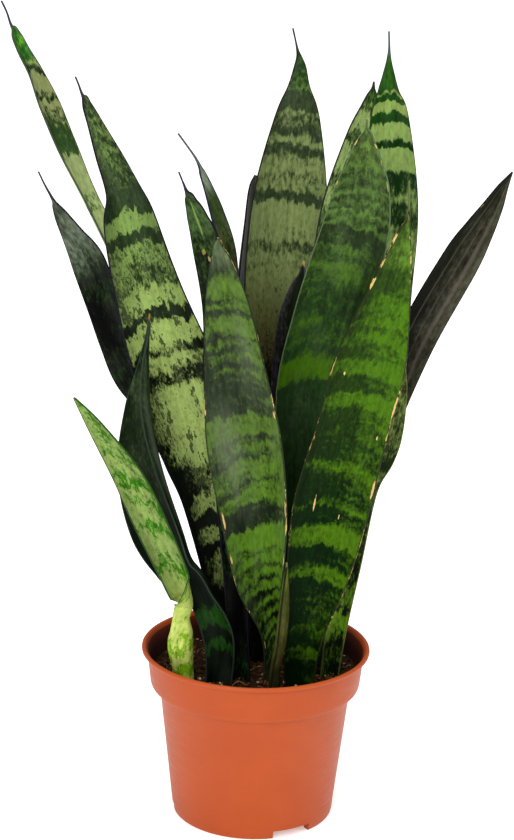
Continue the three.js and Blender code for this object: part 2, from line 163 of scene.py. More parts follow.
# Every blade is a channel. A row is a point of the midrib (x, y, z), the blade's width along
# its own curve, the direction its inner face looks, in degrees from the front, and the angle
# that the section bends through. The first row is the foot in the soil, the last the tip.
BLADES = {
    "leaf_far_left": [
        (-6, 34, 78, 16, 20, 150),
        (-21, 38, 161, 20, 30, 145),
        (-46, 47, 247, 21.5, 40, 140),
        (-76, 56, 319, 22.5, 50, 125),
        (-113, 68, 389, 16, 58, 110),
        (-132.5, 74, 427, 21, 55, 101),
        (-144, 79, 453.5, 21, 51, 94),
        (-152.5, 82, 475, 13.5, 46, 91),
        (-160, 85, 488.5, 10.5, 42, 90),
        (-164.5, 87, 498, 8.5, 38, 90),
        (-166, 88, 503, 4.5, 36, 90),
        (-168, 89, 505.5, 1.6, 35, 90),
        (-171, 91, 513.5, 0.9, 35, 90),
        (-174.5, 92, 520.5, 0.9, 35, 90),
    ],
    "leaf_left_tall": [
        (-15, -1, 80, 18, 10, 140),
        (-19, 2, 145, 33, 10, 135),
        (-31, 7, 212, 47, 10, 120),
        (-39.5, 9, 245, 57.5, 10, 110),
        (-49.5, 12, 277, 63, 10, 100),
        (-72, 19, 341, 48, 5, 85),
        (-85.5, 23, 389, 37, 0, 70),
        (-92, 26, 411, 24, 25, 55),
        (-103.5, 30, 435.5, 20, 48, 50),
        (-110.5, 32, 452.5, 13, 50, 50),
        (-114.5, 33, 462, 9, 50, 50),
        (-116, 34, 467, 5.5, 50, 50),
        (-117.5, 34, 469.5, 2, 50, 50),
        (-120, 35, 476, 0.9, 50, 50),
        (-122, 36, 480.5, 0.9, 50, 50),
    ],
    "leaf_left_dark": [
        (-20, 20, 78, 14, -12, 130),
        (-20, 23, 136, 8, -12, 125),
        (-36.5, 29, 204, 8, -19, 110),
        (-65, 37, 257, 17.5, -24, 95),
        (-82.5, 42, 284, 29, -27, 85),
        (-93, 47, 307, 30.5, -29, 75),
        (-102.5, 51, 330, 29, -31, 67),
        (-113, 57, 357, 29.5, -34, 60),
        (-124, 60, 374, 20, -36, 60),
        (-132, 61, 386, 13, -37, 60),
        (-136.5, 62, 392.5, 6.5, -38, 60),
        (-138.5, 63, 396, 2.5, -38, 60),
        (-144, 65, 405, 1.1, -39, 60),
        (-148.5, 66, 414, 0.9, -40, 60),
    ],
    "leaf_left_folded": [
        (-24, -23, 80, 18, -10, 110),
        (-22.5, -24, 127, 24, -15, 110),
        (-32, -23, 161, 33.5, -52, 115),
        (-47, -22, 180, 49.5, -50, 118),
        (-55.5, -21, 200, 59.5, -47, 120),
        (-66.5, -18, 239, 57, -53, 125),
        (-71.5, -16, 278, 41, -67, 130),
        (-72.5, -15, 308, 18, -78, 130),
        (-72.3, -14, 322, 7, -70, 130),
        (-72, -14, 332, 2.4, -60, 130),
        (-71.5, -14, 340.5, 0.9, -57, 130),
    ],
    "leaf_front_left": [
        (-44, -28, 84, 16, -172, 160),
        (-45.5, -32.5, 104, 17.5, -172, 165),
        (-47.5, -36.5, 124, 24, -170, 175),
        (-46, -38.5, 136, 22, -160, 190),
        (-45, -38.5, 147, 19.5, -130, 220),
        (-42, -37, 155, 28, -95, 230),
        (-43.5, -35.5, 163, 28, -65, 215),
        (-49.5, -34, 172, 25.5, -15, 170),
        (-54.5, -35.5, 184, 26, -10, 145),
        (-63, -42.5, 205, 25.5, -8, 125),
        (-79, -52.5, 244, 23.5, -22, 75),
        (-99.5, -64, 279, 12.5, -20, 60),
        (-112, -70.5, 298, 3, -15, 50),
        (-114, -72, 301, 1.2, -15, 50),
    ],
    "leaf_front_center": [
        (11, -22, 80, 16, -18, 160),
        (10.5, -27, 129, 14, -18, 155),
        (4, -32, 172, 39, -17, 140),
        (0, -39, 221, 53, -17, 120),
        (-7.5, -47, 270, 54.5, -16, 95),
        (-15, -55, 316, 41.5, -15, 70),
        (-22, -63, 362, 28, -15, 45),
        (-26, -68, 386.5, 14, -14, 40),
        (-28, -70, 394, 8.5, -14, 40),
        (-28.5, -71, 398.5, 5, -14, 40),
        (-28.5, -71, 401, 1.2, -14, 40),
        (-28.5, -71, 402, 0.9, -14, 40),
    ],
    "leaf_small_center": [
        (-7, -19, 82, 14, -15, 120),
        (-12, -17, 151, 17, -15, 115),
        (-15.5, -18, 220, 24.5, -19, 105),
        (-21.5, -20, 287, 30, -22, 90),
        (-26.5, -23, 346, 24, -25, 75),
        (-35, -25, 387.5, 21.5, -28, 61),
        (-41.5, -26, 405.5, 15.5, -29, 59),
        (-45, -26, 413.5, 10.5, -29, 59),
        (-47, -27, 418, 7, -29, 60),
        (-49, -27, 421, 2.7, -29, 60),
        (-51.5, -28, 427, 1, -29, 60),
        (-54, -28, 433, 0.9, -30, 60),
    ],
    "leaf_slim_curved": [
        (-5, 23, 80, 13, 8, 120),
        (-9, 24, 142, 14, 8, 115),
        (-14, 25, 211, 13, 13, 110),
        (-18.5, 23, 278, 12, 18, 100),
        (-21, 19, 331, 12, 22, 90),
        (-23.5, 15, 373, 11, 25, 75),
        (-31, 13, 399, 10, 26, 71),
        (-36.5, 12, 415, 7, 28, 70),
        (-40.5, 12, 425, 4.5, 28, 70),
        (-42, 12, 429, 2.4, 29, 70),
        (-45, 12, 435, 1.3, 29, 70),
        (-50, 12, 442, 0.9, 30, 70),
        (-56, 12, 450, 0.9, 30, 70),
    ],
    "leaf_back_sliver": [
        (-3, 47, 78, 15, 62, 90),
        (-6, 51, 143, 19, 65, 85),
        (-10, 59, 211, 23, 70, 70),
        (-15, 67, 278, 26, 72, 55),
        (-16, 76, 338, 27, 75, 45),
        (-12, 83, 383, 26, 75, 35),
        (-9.5, 87, 403, 17, 70, 30),
        (-7.5, 88, 411, 5, 70, 30),
    ],
    "leaf_back_center": [
        (8, 32, 78, 17, 8, 110),
        (10, 37, 142, 32, 8, 105),
        (11, 44, 209, 45, 10, 100),
        (14, 52, 277, 54, 12, 85),
        (11, 60, 342, 57.5, 14, 70),
        (14, 68, 400, 52, 15, 55),
        (18, 75, 451.5, 31.5, 16, 50),
        (19, 78, 472, 15.5, 17, 50),
        (19.5, 79, 483.5, 9, 18, 50),
        (19, 80, 489.5, 4.5, 18, 50),
        (18, 80, 494, 1.9, 18, 50),
        (16.5, 81, 500.5, 0.9, 18, 50),
        (14.5, 82, 508.5, 0.9, 18, 50),
    ],
    "leaf_back_right": [
        (24, 20, 80, 15, 12, 120),
        (27, 20, 145, 19, 12, 115),
        (31, 23, 214, 24, 16, 110),
        (35.5, 27, 282, 27, 20, 100),
        (39.5, 32, 348, 30.5, 24, 90),
        (45, 38, 398, 30, 27, 75),
        (57, 44, 443.5, 24.5, 30, 70),
        (63, 47, 463.5, 14.5, 31, 70),
        (65, 48, 471.5, 8.5, 32, 70),
        (66, 48, 476, 3, 32, 70),
        (66.5, 49, 480, 0.9, 32, 70),
    ],
    "leaf_right_center": [
        (26, -7, 82, 15, -18, 120),
        (30, -7, 150, 16.5, -18, 115),
        (29, -7, 218, 29, -17, 105),
        (31, -7, 285, 46, -16, 85),
        (41.5, -6, 337, 47, -16, 70),
        (55.5, -5, 389, 44.5, -15, 50),
        (60, -4, 421.5, 35.5, -14, 42),
        (60.5, -4, 439, 21.5, -14, 39),
        (60.5, -3, 448, 14.5, -14, 39),
        (61, -3, 454.5, 7.5, -14, 40),
        (60.5, -3, 459, 2.1, -14, 40),
        (60.5, -3, 464, 0.9, -14, 40),
    ],
    "leaf_right_tall": [
        (44, 11, 80, 15, 15, 110),
        (50, 12, 143, 22, 15, 105),
        (58, 16, 211, 34, 17, 95),
        (68, 21, 278, 45.5, 18, 75),
        (71.5, 26, 343, 47, 20, 60),
        (78, 32, 401, 39.5, 21, 40),
        (76, 38, 458, 27, 23, 30),
        (75, 40, 475, 15.5, 24, 29),
        (75, 41, 485, 9, 24, 30),
        (75, 42, 491.5, 5, 24, 30),
        (75, 42, 496, 2.9, 24, 30),
        (75, 43, 502.5, 1.3, 24, 30),
        (74.5, 44, 512.5, 0.9, 24, 30),
    ],
    "leaf_front_right": [
        (28, -26, 82, 18, 2, 110),
        (29.5, -29, 130, 28, 2, 105),
        (37, -35, 180, 45, 5, 100),
        (44, -42, 230, 53.5, 7, 90),
        (54.5, -50, 279, 49.5, 10, 75),
        (64, -57, 325, 47.5, 12, 65),
        (74.5, -64, 371, 27.5, 14, 50),
        (79.5, -68, 395, 16, 15, 50),
        (82, -70, 408.5, 8, 16, 50),
        (84, -72, 415, 3.1, 17, 50),
        (84.5, -73, 420, 1.1, 17, 50),
        (84, -74, 429.5, 1, 17, 50),
        (83.5, -75, 439.5, 0.9, 18, 50),
    ],
    "leaf_far_right": [
        (43, 27, 78, 14, 22, 130),
        (51, 31, 131, 14, 22, 125),
        (63, 37, 192, 17.5, 24, 115),
        (78, 47, 251, 24, 26, 100),
        (97.5, 57, 310, 34, 28, 85),
        (125, 68, 360, 33, 30, 70),
        (138.5, 72, 382.5, 25.5, 31, 69),
        (147.5, 74, 397.5, 17.5, 31, 70),
        (153, 76, 407.5, 10.5, 32, 70),
        (156.5, 77, 413, 6, 32, 70),
        (160.5, 78, 419, 0.9, 32, 70),
    ],
    "leaf_right_rear": [
        (46, -7, 82, 15, 25, 120),
        (50, -7, 128, 18.5, 25, 115),
        (56, -8, 178, 23.5, 28, 105),
        (65.5, -10, 227, 22, 32, 90),
        (74, -11, 250, 25.5, 33, 82),
        (79.5, -12, 268, 24, 34, 75),
        (84.5, -13, 294, 16, 36, 60),
        (88, -14, 314, 3, 38, 60),
        (88, -14, 320, 1.2, 38, 60),
    ],
    "leaf_center_folded": [
        (6, 9, 80, 14, -40, 120),
        (4, 12, 143, 22, -45, 120),
        (4.5, 14, 205, 28, -50, 115),
        (17.5, 15, 259, 31, -55, 115),
        (18.5, 16, 299, 29, -55, 110),
        (20.5, 16, 327, 26, -51, 110),
        (22, 16, 347, 17.5, -50, 110),
        (24.5, 16, 360, 8, -50, 110),
        (24.5, 16, 370, 0.9, -50, 110),
    ],
    "leaf_basal_small": [
        (11, -43, 86, 13, 60, 120),
        (11, -46, 115, 13, 60, 115),
        (14, -50, 137, 14, 60, 110),
        (16, -53, 165, 12, 60, 105),
        (18, -54, 188, 2, 60, 100),
        (18, -54, 192, 1.2, 60, 100),
    ],
}

# What a leaf's finish says where it doesn't name a thing itself. A height of 900 is above every
# leaf. jag is the depth of a band's teeth; arch lifts a band's middle and tilt its right end, up
# to tilt_top; lean lightens the leaf's right side; softness blurs the marks; specks are small
# dark spots; mottling and lining break the bands up; rims darken both sides below a height,
# partly as darker marks and partly as painted shade; crown is (from, to, dark tone, light tone);
# bloom is a pale wax, partly real wax and partly a painted sheen; dashes are dried spots on the
# margin; shade is painted shade, a brightness by height, and sides the painted shade of the left
# and right edge.
# scars are (across, height, half width, half length), with a tone where it isn't the usual one,
# and the patches of painted sheen and painted shade the same with a share and a tone; across goes
# from -1 to 1.
PLAIN = dict(
    jag=4.5, arch=3, tilt=0, tilt_top=900, lean=0, softness=0.32, specks=0, mottling=0.15, lining=0,
    rims=(0, 900), crown=(900, 901, "#000000", "#000000"), bloom=0.1, bloom_colour="#6f7d6c",
    dashes=0, margin_width=0.6, shade={100: 0.5, 190: 1.0}, sides=(1, 1), scars=[], painted_light_and_shade=[],
)

# Finish of every leaf. marks are the turning points of its cross bands, lightness by height,
# from the soil up: 0 is all dark, 1 all light, and between them the marks are broken. dark and
# light each go from a low tone to a high one between the two heights of turn. spine is the
# height from which the tip has its own tone, and that tone, and margin the tone of the edge.
FINISHES = {
    "leaf_far_left": dict(
        marks={
            97: 0.1, 140: 0.7, 160: 0.2, 200: 0.8, 240: 0.25, 285: 0.85, 297: 0.2, 330: 0.9, 352: 0.3,
            360: 0.95, 387: 0.95, 390: 0.3, 393: 0.75, 397: 0.3, 400: 0.75, 404: 0.9, 423: 0.9,
            427: 0.1, 441: 0.05, 444: 0.5, 447: 0.3, 450: 0.6, 452: 0.35, 455: 0.9, 458: 0.8, 460: 0.2,
            463: 0.4, 466: 0.95, 473: 0.85, 476: 0.15, 479: 0.2, 483: 0.6, 487: 0.2, 492: 0.25,
            496: 0.45, 505: 0.2,
        },
        dark=("#385921", "#102108"), light=("#94a468", "#727a4a"), turn=(380, 470),
        crown=(478, 488, "#1d4a12", "#4f8a1c"), lean=0.12, softness=0.26, mottling=0.24,
        specks=0.2, spine=(503, "#332c3a"), margin="#3b4537",
    ),
    "leaf_left_tall": dict(
        marks={
            97: 0, 155: 0.05, 160: 0.6, 176: 0.6, 179: 0.1, 182: 0.1, 185: 0.7, 195: 0.75, 198: 0.1,
            205: 0.1, 208: 0.75, 217: 0.75, 221: 0.3, 228: 0.45, 236: 0.35, 243: 0.85, 256: 0.75,
            272: 0.9, 286: 0.85, 291: 0.4, 296: 0.4, 300: 0.9, 306: 0.85, 309: 0.45, 312: 0.5,
            315: 0.95, 327: 1, 331: 0.12, 335: 0.12, 338: 0.95, 346: 0.85, 352: 0.4, 362: 0.5, 370: 0.6,
            377: 0.6, 380: 0.12, 385: 0.12, 388: 0.9, 396: 0.95, 399: 0.15, 411: 0.15, 420: 0.4,
            432: 0.5, 436: 0.65, 440: 0.35, 445: 0.7, 450: 0.4, 455: 0.7, 460: 0.4, 469: 0.3,
        },
        dark=("#0b1206", "#202f16"), light=("#9fb563", "#6a8442"), turn=(290, 385),
        crown=(405, 435, "#2b3a20", "#667f42"), arch=4, softness=0.26, lean=-0.03, jag=4, mottling=0.25,
        lining=0.16, rims=(0.7, 335), specks=0.8, spine=(466, "#36303c"), margin="#221a2c",
        shade={140: 0.4, 200: 0.6, 240: 0.8, 300: 0.95, 330: 1.0},
        sides=(0.55, 0.7),
    ),
    "leaf_left_dark": dict(
        # The grey-green light tone of its upper marks is a painted sheen.
        marks={
            97: 0, 280: 0.25, 300: 0.2, 325: 0.05, 338: 0.3, 350: 0.1, 360: 0.45, 372: 0.55, 385: 0.45,
            391: 0.2, 413: 0.2,
        },
        dark=("#020202", "#222b1e"), light=("#244109", "#616a58"), turn=(340, 372), softness=0.4,
        mottling=0.25, spine=(396, "#2f2838"), margin="#151120",
    ),
    "leaf_left_folded": dict(
        marks={
            97: 0, 119: 0, 122: 0.6, 127: 0.6, 130: 0.05, 136: 0.1, 139: 0.6, 149: 0.6, 152: 0.05,
            170: 0.1, 255: 0.2, 270: 0.2, 300: 0.3, 339: 0.2,
        },
        dark=("#030c03", "#0a1602"), light=("#1a4a04", "#4c6532"), turn=(180, 260), softness=0.35,
        spine=(335.5, "#8a6a38"), margin="#2e3830", margin_width=0.7, shade={100: 0.55, 190: 0.9},
        # The grey-green strip on the right face is a painted sheen.
        painted_light_and_shade=[(0.72, 250, 0.2, 75, 0.45, "#566052")],
    ),
    "leaf_front_left": dict(
        marks={
            97: 0.9, 103: 0.5, 108: 0.15, 113: 0.45, 118: 0.95, 125: 0.6, 129: 0.35, 134: 0.6,
            139: 0.95, 147: 0.6, 152: 0.95, 158: 1, 163: 0.8, 175: 0.7, 182: 0.4, 186: 0.35, 192: 0.75,
            200: 0.8, 205: 0.4, 210: 0.4, 215: 0.8, 222: 0.7, 227: 0.35, 231: 0.75, 238: 0.75, 243: 0.4,
            247: 0.4, 252: 0.8, 258: 0.7, 263: 0.35, 268: 0.8, 273: 0.4, 277: 0.7, 282: 0.45, 288: 0.7,
            300: 0.5,
        },
        dark=("#6a9410", "#286004"), light=("#b2c260", "#768b49"), turn=(140, 185), arch=2, tilt=-5,
        lean=-0.22, jag=8, softness=0.2, bloom=0.03, mottling=0.2, lining=0.36, spine=(299, "#5a5a48"),
        margin="#2c4a20", sides=(0.8, 0.85), shade={98: 0.85, 130: 1.0},
    ),
    "leaf_front_center": dict(
        marks={
            97: 0, 118: 0.05, 122: 0.5, 126: 0.1, 131: 0.6, 135: 0.15, 140: 0.7, 145: 0.15, 150: 0.75,
            155: 0.15, 159: 0.8, 164: 0.2, 168: 0.8, 173: 0.3, 178: 0.85, 183: 0.35, 188: 0.85,
            193: 0.5, 199: 0.9, 210: 0.85, 214: 0.15, 226: 0.15, 230: 0.7, 238: 0.7, 242: 0.3,
            246: 0.65, 256: 0.7, 260: 0.35, 266: 0.6, 271: 0.3, 276: 0.75, 286: 0.8, 290: 0.2, 312: 0.2,
            317: 0.45, 321: 0.25, 327: 0.6, 331: 0.25, 335: 0.6, 339: 0.3, 343: 0.65, 351: 0.65,
            355: 0.25, 359: 0.75, 363: 0.3, 368: 0.85, 375: 0.8, 379: 0.25, 401: 0.2,
        },
        dark=("#040d02", "#20291a"), light=("#43660f", "#486221"), turn=(190, 290),
        crown=(380, 390, "#3f4b34", "#56633c"), tilt=8, tilt_top=290, arch=2, lean=0.14, jag=2.8,
        mottling=0.17, lining=0.26, bloom=0.25, bloom_colour="#5b6650", softness=0.35,
        spine=(400.8, "#c8c08a"), margin="#26301e", dashes=0.6,
        # The two pale patches are painted reflections.
        painted_light_and_shade=[(-0.5, 262, 0.5, 42, 0.32, "#747c66"), (0.45, 330, 0.45, 38, 0.25, "#6a765c")],
        scars=[(-0.94, 218, 0.028, 6), (-0.94, 190, 0.028, 3), (-0.86, 127, 0.05, 3, "#8a7a34"),
               (0.95, 229, 0.03, 5), (0.93, 290, 0.03, 2)],
    ),
    "leaf_small_center": dict(
        marks={
            97: 0.3, 112: 0.35, 118: 0.1, 126: 0.3, 132: 0.1, 165: 0.1, 172: 0.35, 188: 0.35, 193: 0.1,
            198: 0.4, 205: 0.35, 210: 0.1, 300: 0.5, 310: 0.1, 340: 0.5, 348: 0.1, 366: 0.25, 376: 0.35,
            382: 0.2, 388: 0.5, 394: 0.3, 400: 0.5, 412: 0.55, 416: 0.3, 431: 0.2,
        },
        dark=("#020202", "#071103"), light=("#1c4a10", "#38501f"), turn=(200, 380),
        crown=(392, 400, "#17250e", "#3c5428"), softness=0.3, mottling=0.26, spine=(421, "#2f2838"),
        margin="#17121f",
        scars=[(-0.15, 405, 0.09, 12, "#64803a"), (-0.35, 384, 0.1, 2, "#77702f"),
               (-0.1, 379, 0.08, 2, "#8a7f52")],
    ),
    "leaf_slim_curved": dict(
        marks={97: 0.1, 330: 0.5, 380: 0.3, 390: 0.5, 400: 0.35, 412: 0.5, 425: 0.6, 449: 0.5},
        dark=("#1c1b1a", "#1a2f06"), light=("#78783f", "#374324"), turn=(340, 410),
        crown=(408, 422, "#4a5640", "#76826a"), softness=0.35, spine=(430, "#4a4c52"), margin="#26203a",
        scars=[(-0.7, 383, 0.1, 1.6, "#9a8632"), (-0.35, 376, 0.12, 1.2, "#b0964a")],
    ),
    "leaf_back_sliver": dict(
        marks={97: 0, 300: 0, 412: 0}, dark=("#020202", "#020602"), light=("#0d2802", "#5c8240"),
        turn=(300, 400), lean=1.3, softness=0.3, bloom=0.0, spine=(409, "#2a2a20"), margin="#0b0e08",
    ),
    "leaf_back_center": dict(
        marks={
            97: 0.1, 200: 0.4, 280: 0.3, 320: 0.8, 336: 0.85, 345: 0.8, 354: 0.85, 357: 0.6, 362: 0.8,
            365: 0.6, 368: 0.42, 371: 0.42, 374: 0.85, 380: 0.75, 385: 0.95, 396: 1, 399: 0.12,
            403: 0.12, 406: 0.75, 411: 0.7, 414: 0.45, 418: 0.8, 426: 0.7, 429: 0.25, 433: 0.2,
            436: 0.75, 439: 0.7, 442: 0.15, 446: 0.2, 449: 0.5, 452: 0.3, 455: 0.6, 458: 0.1, 468: 0.1,
            471: 0.75, 475: 0.4, 477: 0.85, 479: 0.1, 483: 0.5, 486: 0.1, 490: 0.4, 496: 0.1,
        },
        dark=("#040502", "#2d3922"), light=("#584f27", "#717f4c"), turn=(285, 370),
        crown=(464, 474, "#22341a", "#3f5e24"), arch=2, jag=3, mottling=0.28, lining=0.08,
        specks=0.6, spine=(494, "#2e2a34"), margin="#232018", shade={270: 0.4, 350: 0.95, 365: 1.0},
        sides=(0.85, 0.9),
    ),
    "leaf_back_right": dict(
        marks={
            97: 0.2, 160: 0.7, 175: 0.25, 220: 0.8, 235: 0.3, 290: 0.85, 300: 0.3, 345: 0.85, 355: 0.4,
            365: 0.85, 378: 0.4, 394: 0.3, 400: 0.8, 410: 0.8, 414: 0.35, 419: 0.35, 424: 0.9,
            437: 0.85, 441: 0.3, 446: 0.3, 450: 0.95, 457: 0.9, 461: 0.35, 465: 0.6, 469: 0.3,
            473: 0.65, 476: 0.2, 480: 0.2,
        },
        dark=("#1d3610", "#284118"), light=("#84a55d", "#a4bf72"), turn=(340, 420),
        crown=(460, 470, "#24401a", "#6f9a3c"), tilt=-4, mottling=0.34, specks=0.75,
        spine=(474.5, "#2a2a22"), margin="#2a2c20",
    ),
    "leaf_right_center": dict(
        # Between 317 and 358 its marks stay low, partly as painted shade where its channel deepens.
        marks={
            97: 0, 200: 0, 298: 0, 302: 0.95, 312: 0.95, 317: 0.2, 322: 0.35, 330: 0.3, 336: 0.4,
            342: 0.2, 350: 0.35, 358: 0.3, 364: 0.6, 372: 0.7, 377: 0.3, 381: 0.5, 386: 0.15, 394: 0.15,
            398: 0.6, 402: 0.25, 406: 0.65, 409: 0.25, 413: 0.65, 416: 0.25, 420: 0.65, 424: 0.3,
            428: 0.7, 432: 0.3, 436: 0.7, 441: 0.35, 446: 0.6, 450: 0.4, 462: 0.3,
        },
        dark=("#1b3314", "#243019"), light=("#3a6005", "#516f30"), turn=(330, 415),
        crown=(425, 448, "#34421f", "#5a7832"), arch=4, tilt=6, tilt_top=345, jag=2.6, mottling=0.16,
        lining=0.28, bloom=0.15, bloom_colour="#5b6650", softness=0.38, sides=(0.85, 0.8),
        spine=(462, "#8a5a2c"), margin="#5c7350", margin_width=0.5, dashes=0.5,
        # The dark patch at the right is painted shade.
        painted_light_and_shade=[(0.78, 360, 0.68, 38, 0.85, "#0c1806")], shade={200: 0.35, 240: 0.8, 280: 1.0},
        scars=[(-0.96, 222, 0.03, 12, "#6a4a24"), (0.93, 448, 0.05, 2), (0.95, 425, 0.03, 3, "#8a8a4a"),
               (-0.93, 449, 0.05, 1.5)],
    ),
    "leaf_right_tall": dict(
        marks={
            97: 0.1, 150: 0.7, 165: 0.2, 200: 0.8, 215: 0.2, 250: 0.9, 262: 0.2, 300: 0.85, 315: 0.15,
            350: 0.9, 362: 0.2, 372: 0.6, 380: 0.7, 388: 0.5, 396: 0.2, 404: 0.3, 409: 0.5, 414: 0.25,
            424: 0.1, 427: 0.9, 440: 1, 441.5: 0.1, 445: 0.1, 446.5: 0.95, 455: 1, 457: 0.05, 462: 0.05,
            464: 1, 469: 1, 470.5: 0.1, 473.5: 0.1, 474.5: 0.6, 475.5: 0.6, 477: 0.1, 512: 0.1,
        },
        dark=("#052502", "#0b3402"), light=("#728b47", "#728943"), turn=(440, 468),
        crown=(474, 480, "#1f440f", "#54742f"), jag=2, softness=0.3, lean=0.07, mottling=0.22,
        spine=(496, "#3e5048"), margin="#2c3820", scars=[(-0.94, 435, 0.05, 4)], sides=(1.0, 0.85),
    ),
    "leaf_front_right": dict(
        marks={
            97: 0.1, 117: 0.1, 121: 0.5, 126: 0.5, 130: 0.1, 137: 0.15, 140: 0.5, 144: 0.15, 155: 0.2,
            165: 0.15, 174: 0.15, 178: 0.65, 184: 0.65, 188: 0.1, 198: 0.15, 202: 0.8, 211: 0.8,
            215: 0.15, 224: 0.15, 228: 0.5, 232: 0.15, 249: 0.25, 252: 0.55, 257: 0.55, 260: 0.2,
            272: 0.2, 284: 0.3, 292: 0.25, 296: 0.75, 302: 0.75, 306: 0.15, 314: 0.25, 318: 0.75,
            325: 0.75, 329: 0.3, 335: 0.35, 339: 0.75, 344: 0.7, 347: 0.3, 351: 0.7, 354: 0.65,
            357: 0.3, 361: 0.7, 366: 0.5, 371: 0.2, 385: 0.25, 389: 0.5, 400: 0.55, 405: 0.3, 420: 0.3,
        },
        dark=("#031902", "#23380e"), light=("#3e6107", "#3e630e"), turn=(200, 380),
        crown=(382, 390, "#304616", "#4d6e20"), lean=0.24, jag=2.6, mottling=0.17, lining=0.26,
        bloom=0.08, bloom_colour="#3c5236", softness=0.36, sides=(0.75, 1.0), spine=(420, "#5d6a38"),
        margin="#262e18", dashes=0.8,
        scars=[(-0.38, 228, 0.022, 5), (-0.94, 404, 0.09, 3.5), (-0.95, 388, 0.05, 3),
               (-0.95, 375, 0.06, 4), (0.96, 246, 0.03, 6), (0.97, 300, 0.02, 7), (0.3, 220, 0.012, 2),
               (-0.56, 316, 0.03, 1.2), (0.75, 278, 0.02, 1.2)],
    ),
    "leaf_far_right": dict(
        marks={97: 0.2, 300: 0.25, 370: 0.3, 392: 0.35, 400: 0.2},
        dark=("#050502", "#101304"), light=("#514e3e", "#484739"), turn=(300, 400), lean=0.3,
        softness=0.4, mottling=0.12, bloom=0.05,
        # The pale strips along the ridges are painted sheen.
        painted_light_and_shade=[(0.55, 345, 0.14, 130, 0.4, "#6f655c"), (-0.35, 350, 0.07, 110, 0.35, "#5f564c"),
                (0.15, 350, 0.06, 110, 0.25, "#5f564c")],
        spine=(417, "#2c2a26"), margin="#15130f",
    ),
    "leaf_right_rear": dict(
        marks={
            97: 0.15, 110: 0.3, 115: 0.35, 120: 0.15, 127: 0.5, 131: 0.8, 142: 0.8, 146: 0.2, 152: 0.5,
            160: 0.5, 165: 0.15, 200: 0.3, 210: 0.1, 240: 0.4, 248: 0.2, 262: 0.45, 272: 0.4, 290: 0.45,
            300: 0.3, 320: 0.2,
        },
        dark=("#061402", "#132503"), light=("#628f13", "#6e7f3e"), turn=(160, 260), mottling=0.3,
        spine=(312, "#4a4438"), margin="#6a7038",
        scars=[(-0.55, 134, 0.06, 6, "#7a6a3a"), (-0.35, 262, 0.04, 9, "#a8a860"),
               (-0.3, 284, 0.04, 7, "#a8a860")],
    ),
    "leaf_center_folded": dict(
        # Its lean darkens the right half, the inside of the fold, as painted shade.
        marks={97: 0, 368: 0}, dark=("#0e0f05", "#12180c"), light=("#4a4650", "#5d5a5c"),
        turn=(290, 330), lean=-0.45, softness=0.3, mottling=0.1, bloom=0.0, dashes=0.45,
        spine=(366, "#9a8450"), margin="#3a3440",
    ),
    "leaf_basal_small": dict(
        marks={97: 0.2, 118: 0.3, 126: 0.5, 135: 0.45, 150: 0.6, 170: 0.55, 176: 0.8, 192: 0.8},
        dark=("#141208", "#16200a"), light=("#6f6c2c", "#5a6420"), turn=(120, 180), softness=0.5,
        mottling=0.06, sides=(0.8, 0.45), spine=(188, "#6a6a3a"), margin="#1e2410",
        shade={100: 0.6, 190: 1.0},
    ),
}

LOW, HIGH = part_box("pot")
POT_AXIS = Vector(((LOW.x + HIGH.x) / 2, (LOW.y + HIGH.y) / 2, LOW.z))


def from_axis(x, y, z):
    """A point given in millimetres from the pot's axis, as a place in the frame."""
    return POT_AXIS + Vector((x, y, z)) * MM


# Shader building blocks

def paint(code):
    """Linear colour from a web colour code."""
    parts = [int(code[i:i + 2], 16) / 255 for i in (1, 3, 5)]
    linear = [p / 12.92 if p <= 0.04045 else ((p + 0.055) / 1.055) ** 2.4 for p in parts]
    return (*linear, 1.0)


def feed(tree, socket, value):
    if isinstance(value, bpy.types.NodeSocket):
        tree.links.new(value, socket)
    else:
        socket.default_value = value


def put(tree, kind, inputs=None, **settings):
    """Place a node; inputs are values or other nodes' outputs."""
    placed = tree.nodes.new(kind)
    for name, value in settings.items():
        setattr(placed, name, value)
    for key, value in (inputs or {}).items():
        feed(tree, placed.inputs[key], value)
    return placed


def calc(tree, operation, *values):
    return put(tree, "ShaderNodeMath", dict(enumerate(values)), operation=operation).outputs[0]


def add_up(tree, base, *parts):
    """The base with every part added to it; a part is a value and its weight."""
    for value, weight in parts:
        base = calc(tree, "MULTIPLY_ADD", value, weight, base)
    return base


def ease(tree, value, start, end, first=0.0, last=1.0):
    """Smooth change from first to last while the value goes from start to end."""
    inputs = {"Value": value, "From Min": start, "From Max": end, "To Min": first, "To Max": last}
    return put(tree, "ShaderNodeMapRange", inputs, interpolation_type="SMOOTHSTEP").outputs["Result"]


def blend(tree, share, first, second, mode="MIX"):
    inputs = {0: share, 6: first, 7: second}
    return put(tree, "ShaderNodeMix", inputs, data_type="RGBA", blend_type=mode).outputs[2]


def grain(tree, vector, spacing, detail=2.0, shift=0.0):
    """Noise about 0 from -1 to 1, with grains of the given spacing along x, y and z."""
    stretch = tuple(1 / s for s in spacing)
    moved = {0: vector, 1: stretch, 2: (shift,) * 3}
    scaled = put(tree, "ShaderNodeVectorMath", moved, operation="MULTIPLY_ADD")
    inputs = {"Vector": scaled.outputs[0], "Scale": 1.0, "Detail": detail, "Roughness": 0.6}
    value = put(tree, "ShaderNodeTexNoise", inputs, noise_dimensions="3D").outputs["Fac"]
    return calc(tree, "MULTIPLY_ADD", value, 4.0, -2.0)


def even_grain(tree, vector, spacing, detail=2.0, shift=0.0):
    return grain(tree, vector, (spacing,) * 3, detail, shift)


def attribute(tree, name):
    return put(tree, "ShaderNodeAttribute", attribute_name=name).outputs["Vector"]


def object_place(tree):
    return put(tree, "ShaderNodeTexCoord").outputs["Object"]


def split(tree, vector):
    return put(tree, "ShaderNodeSeparateXYZ", {0: vector}).outputs


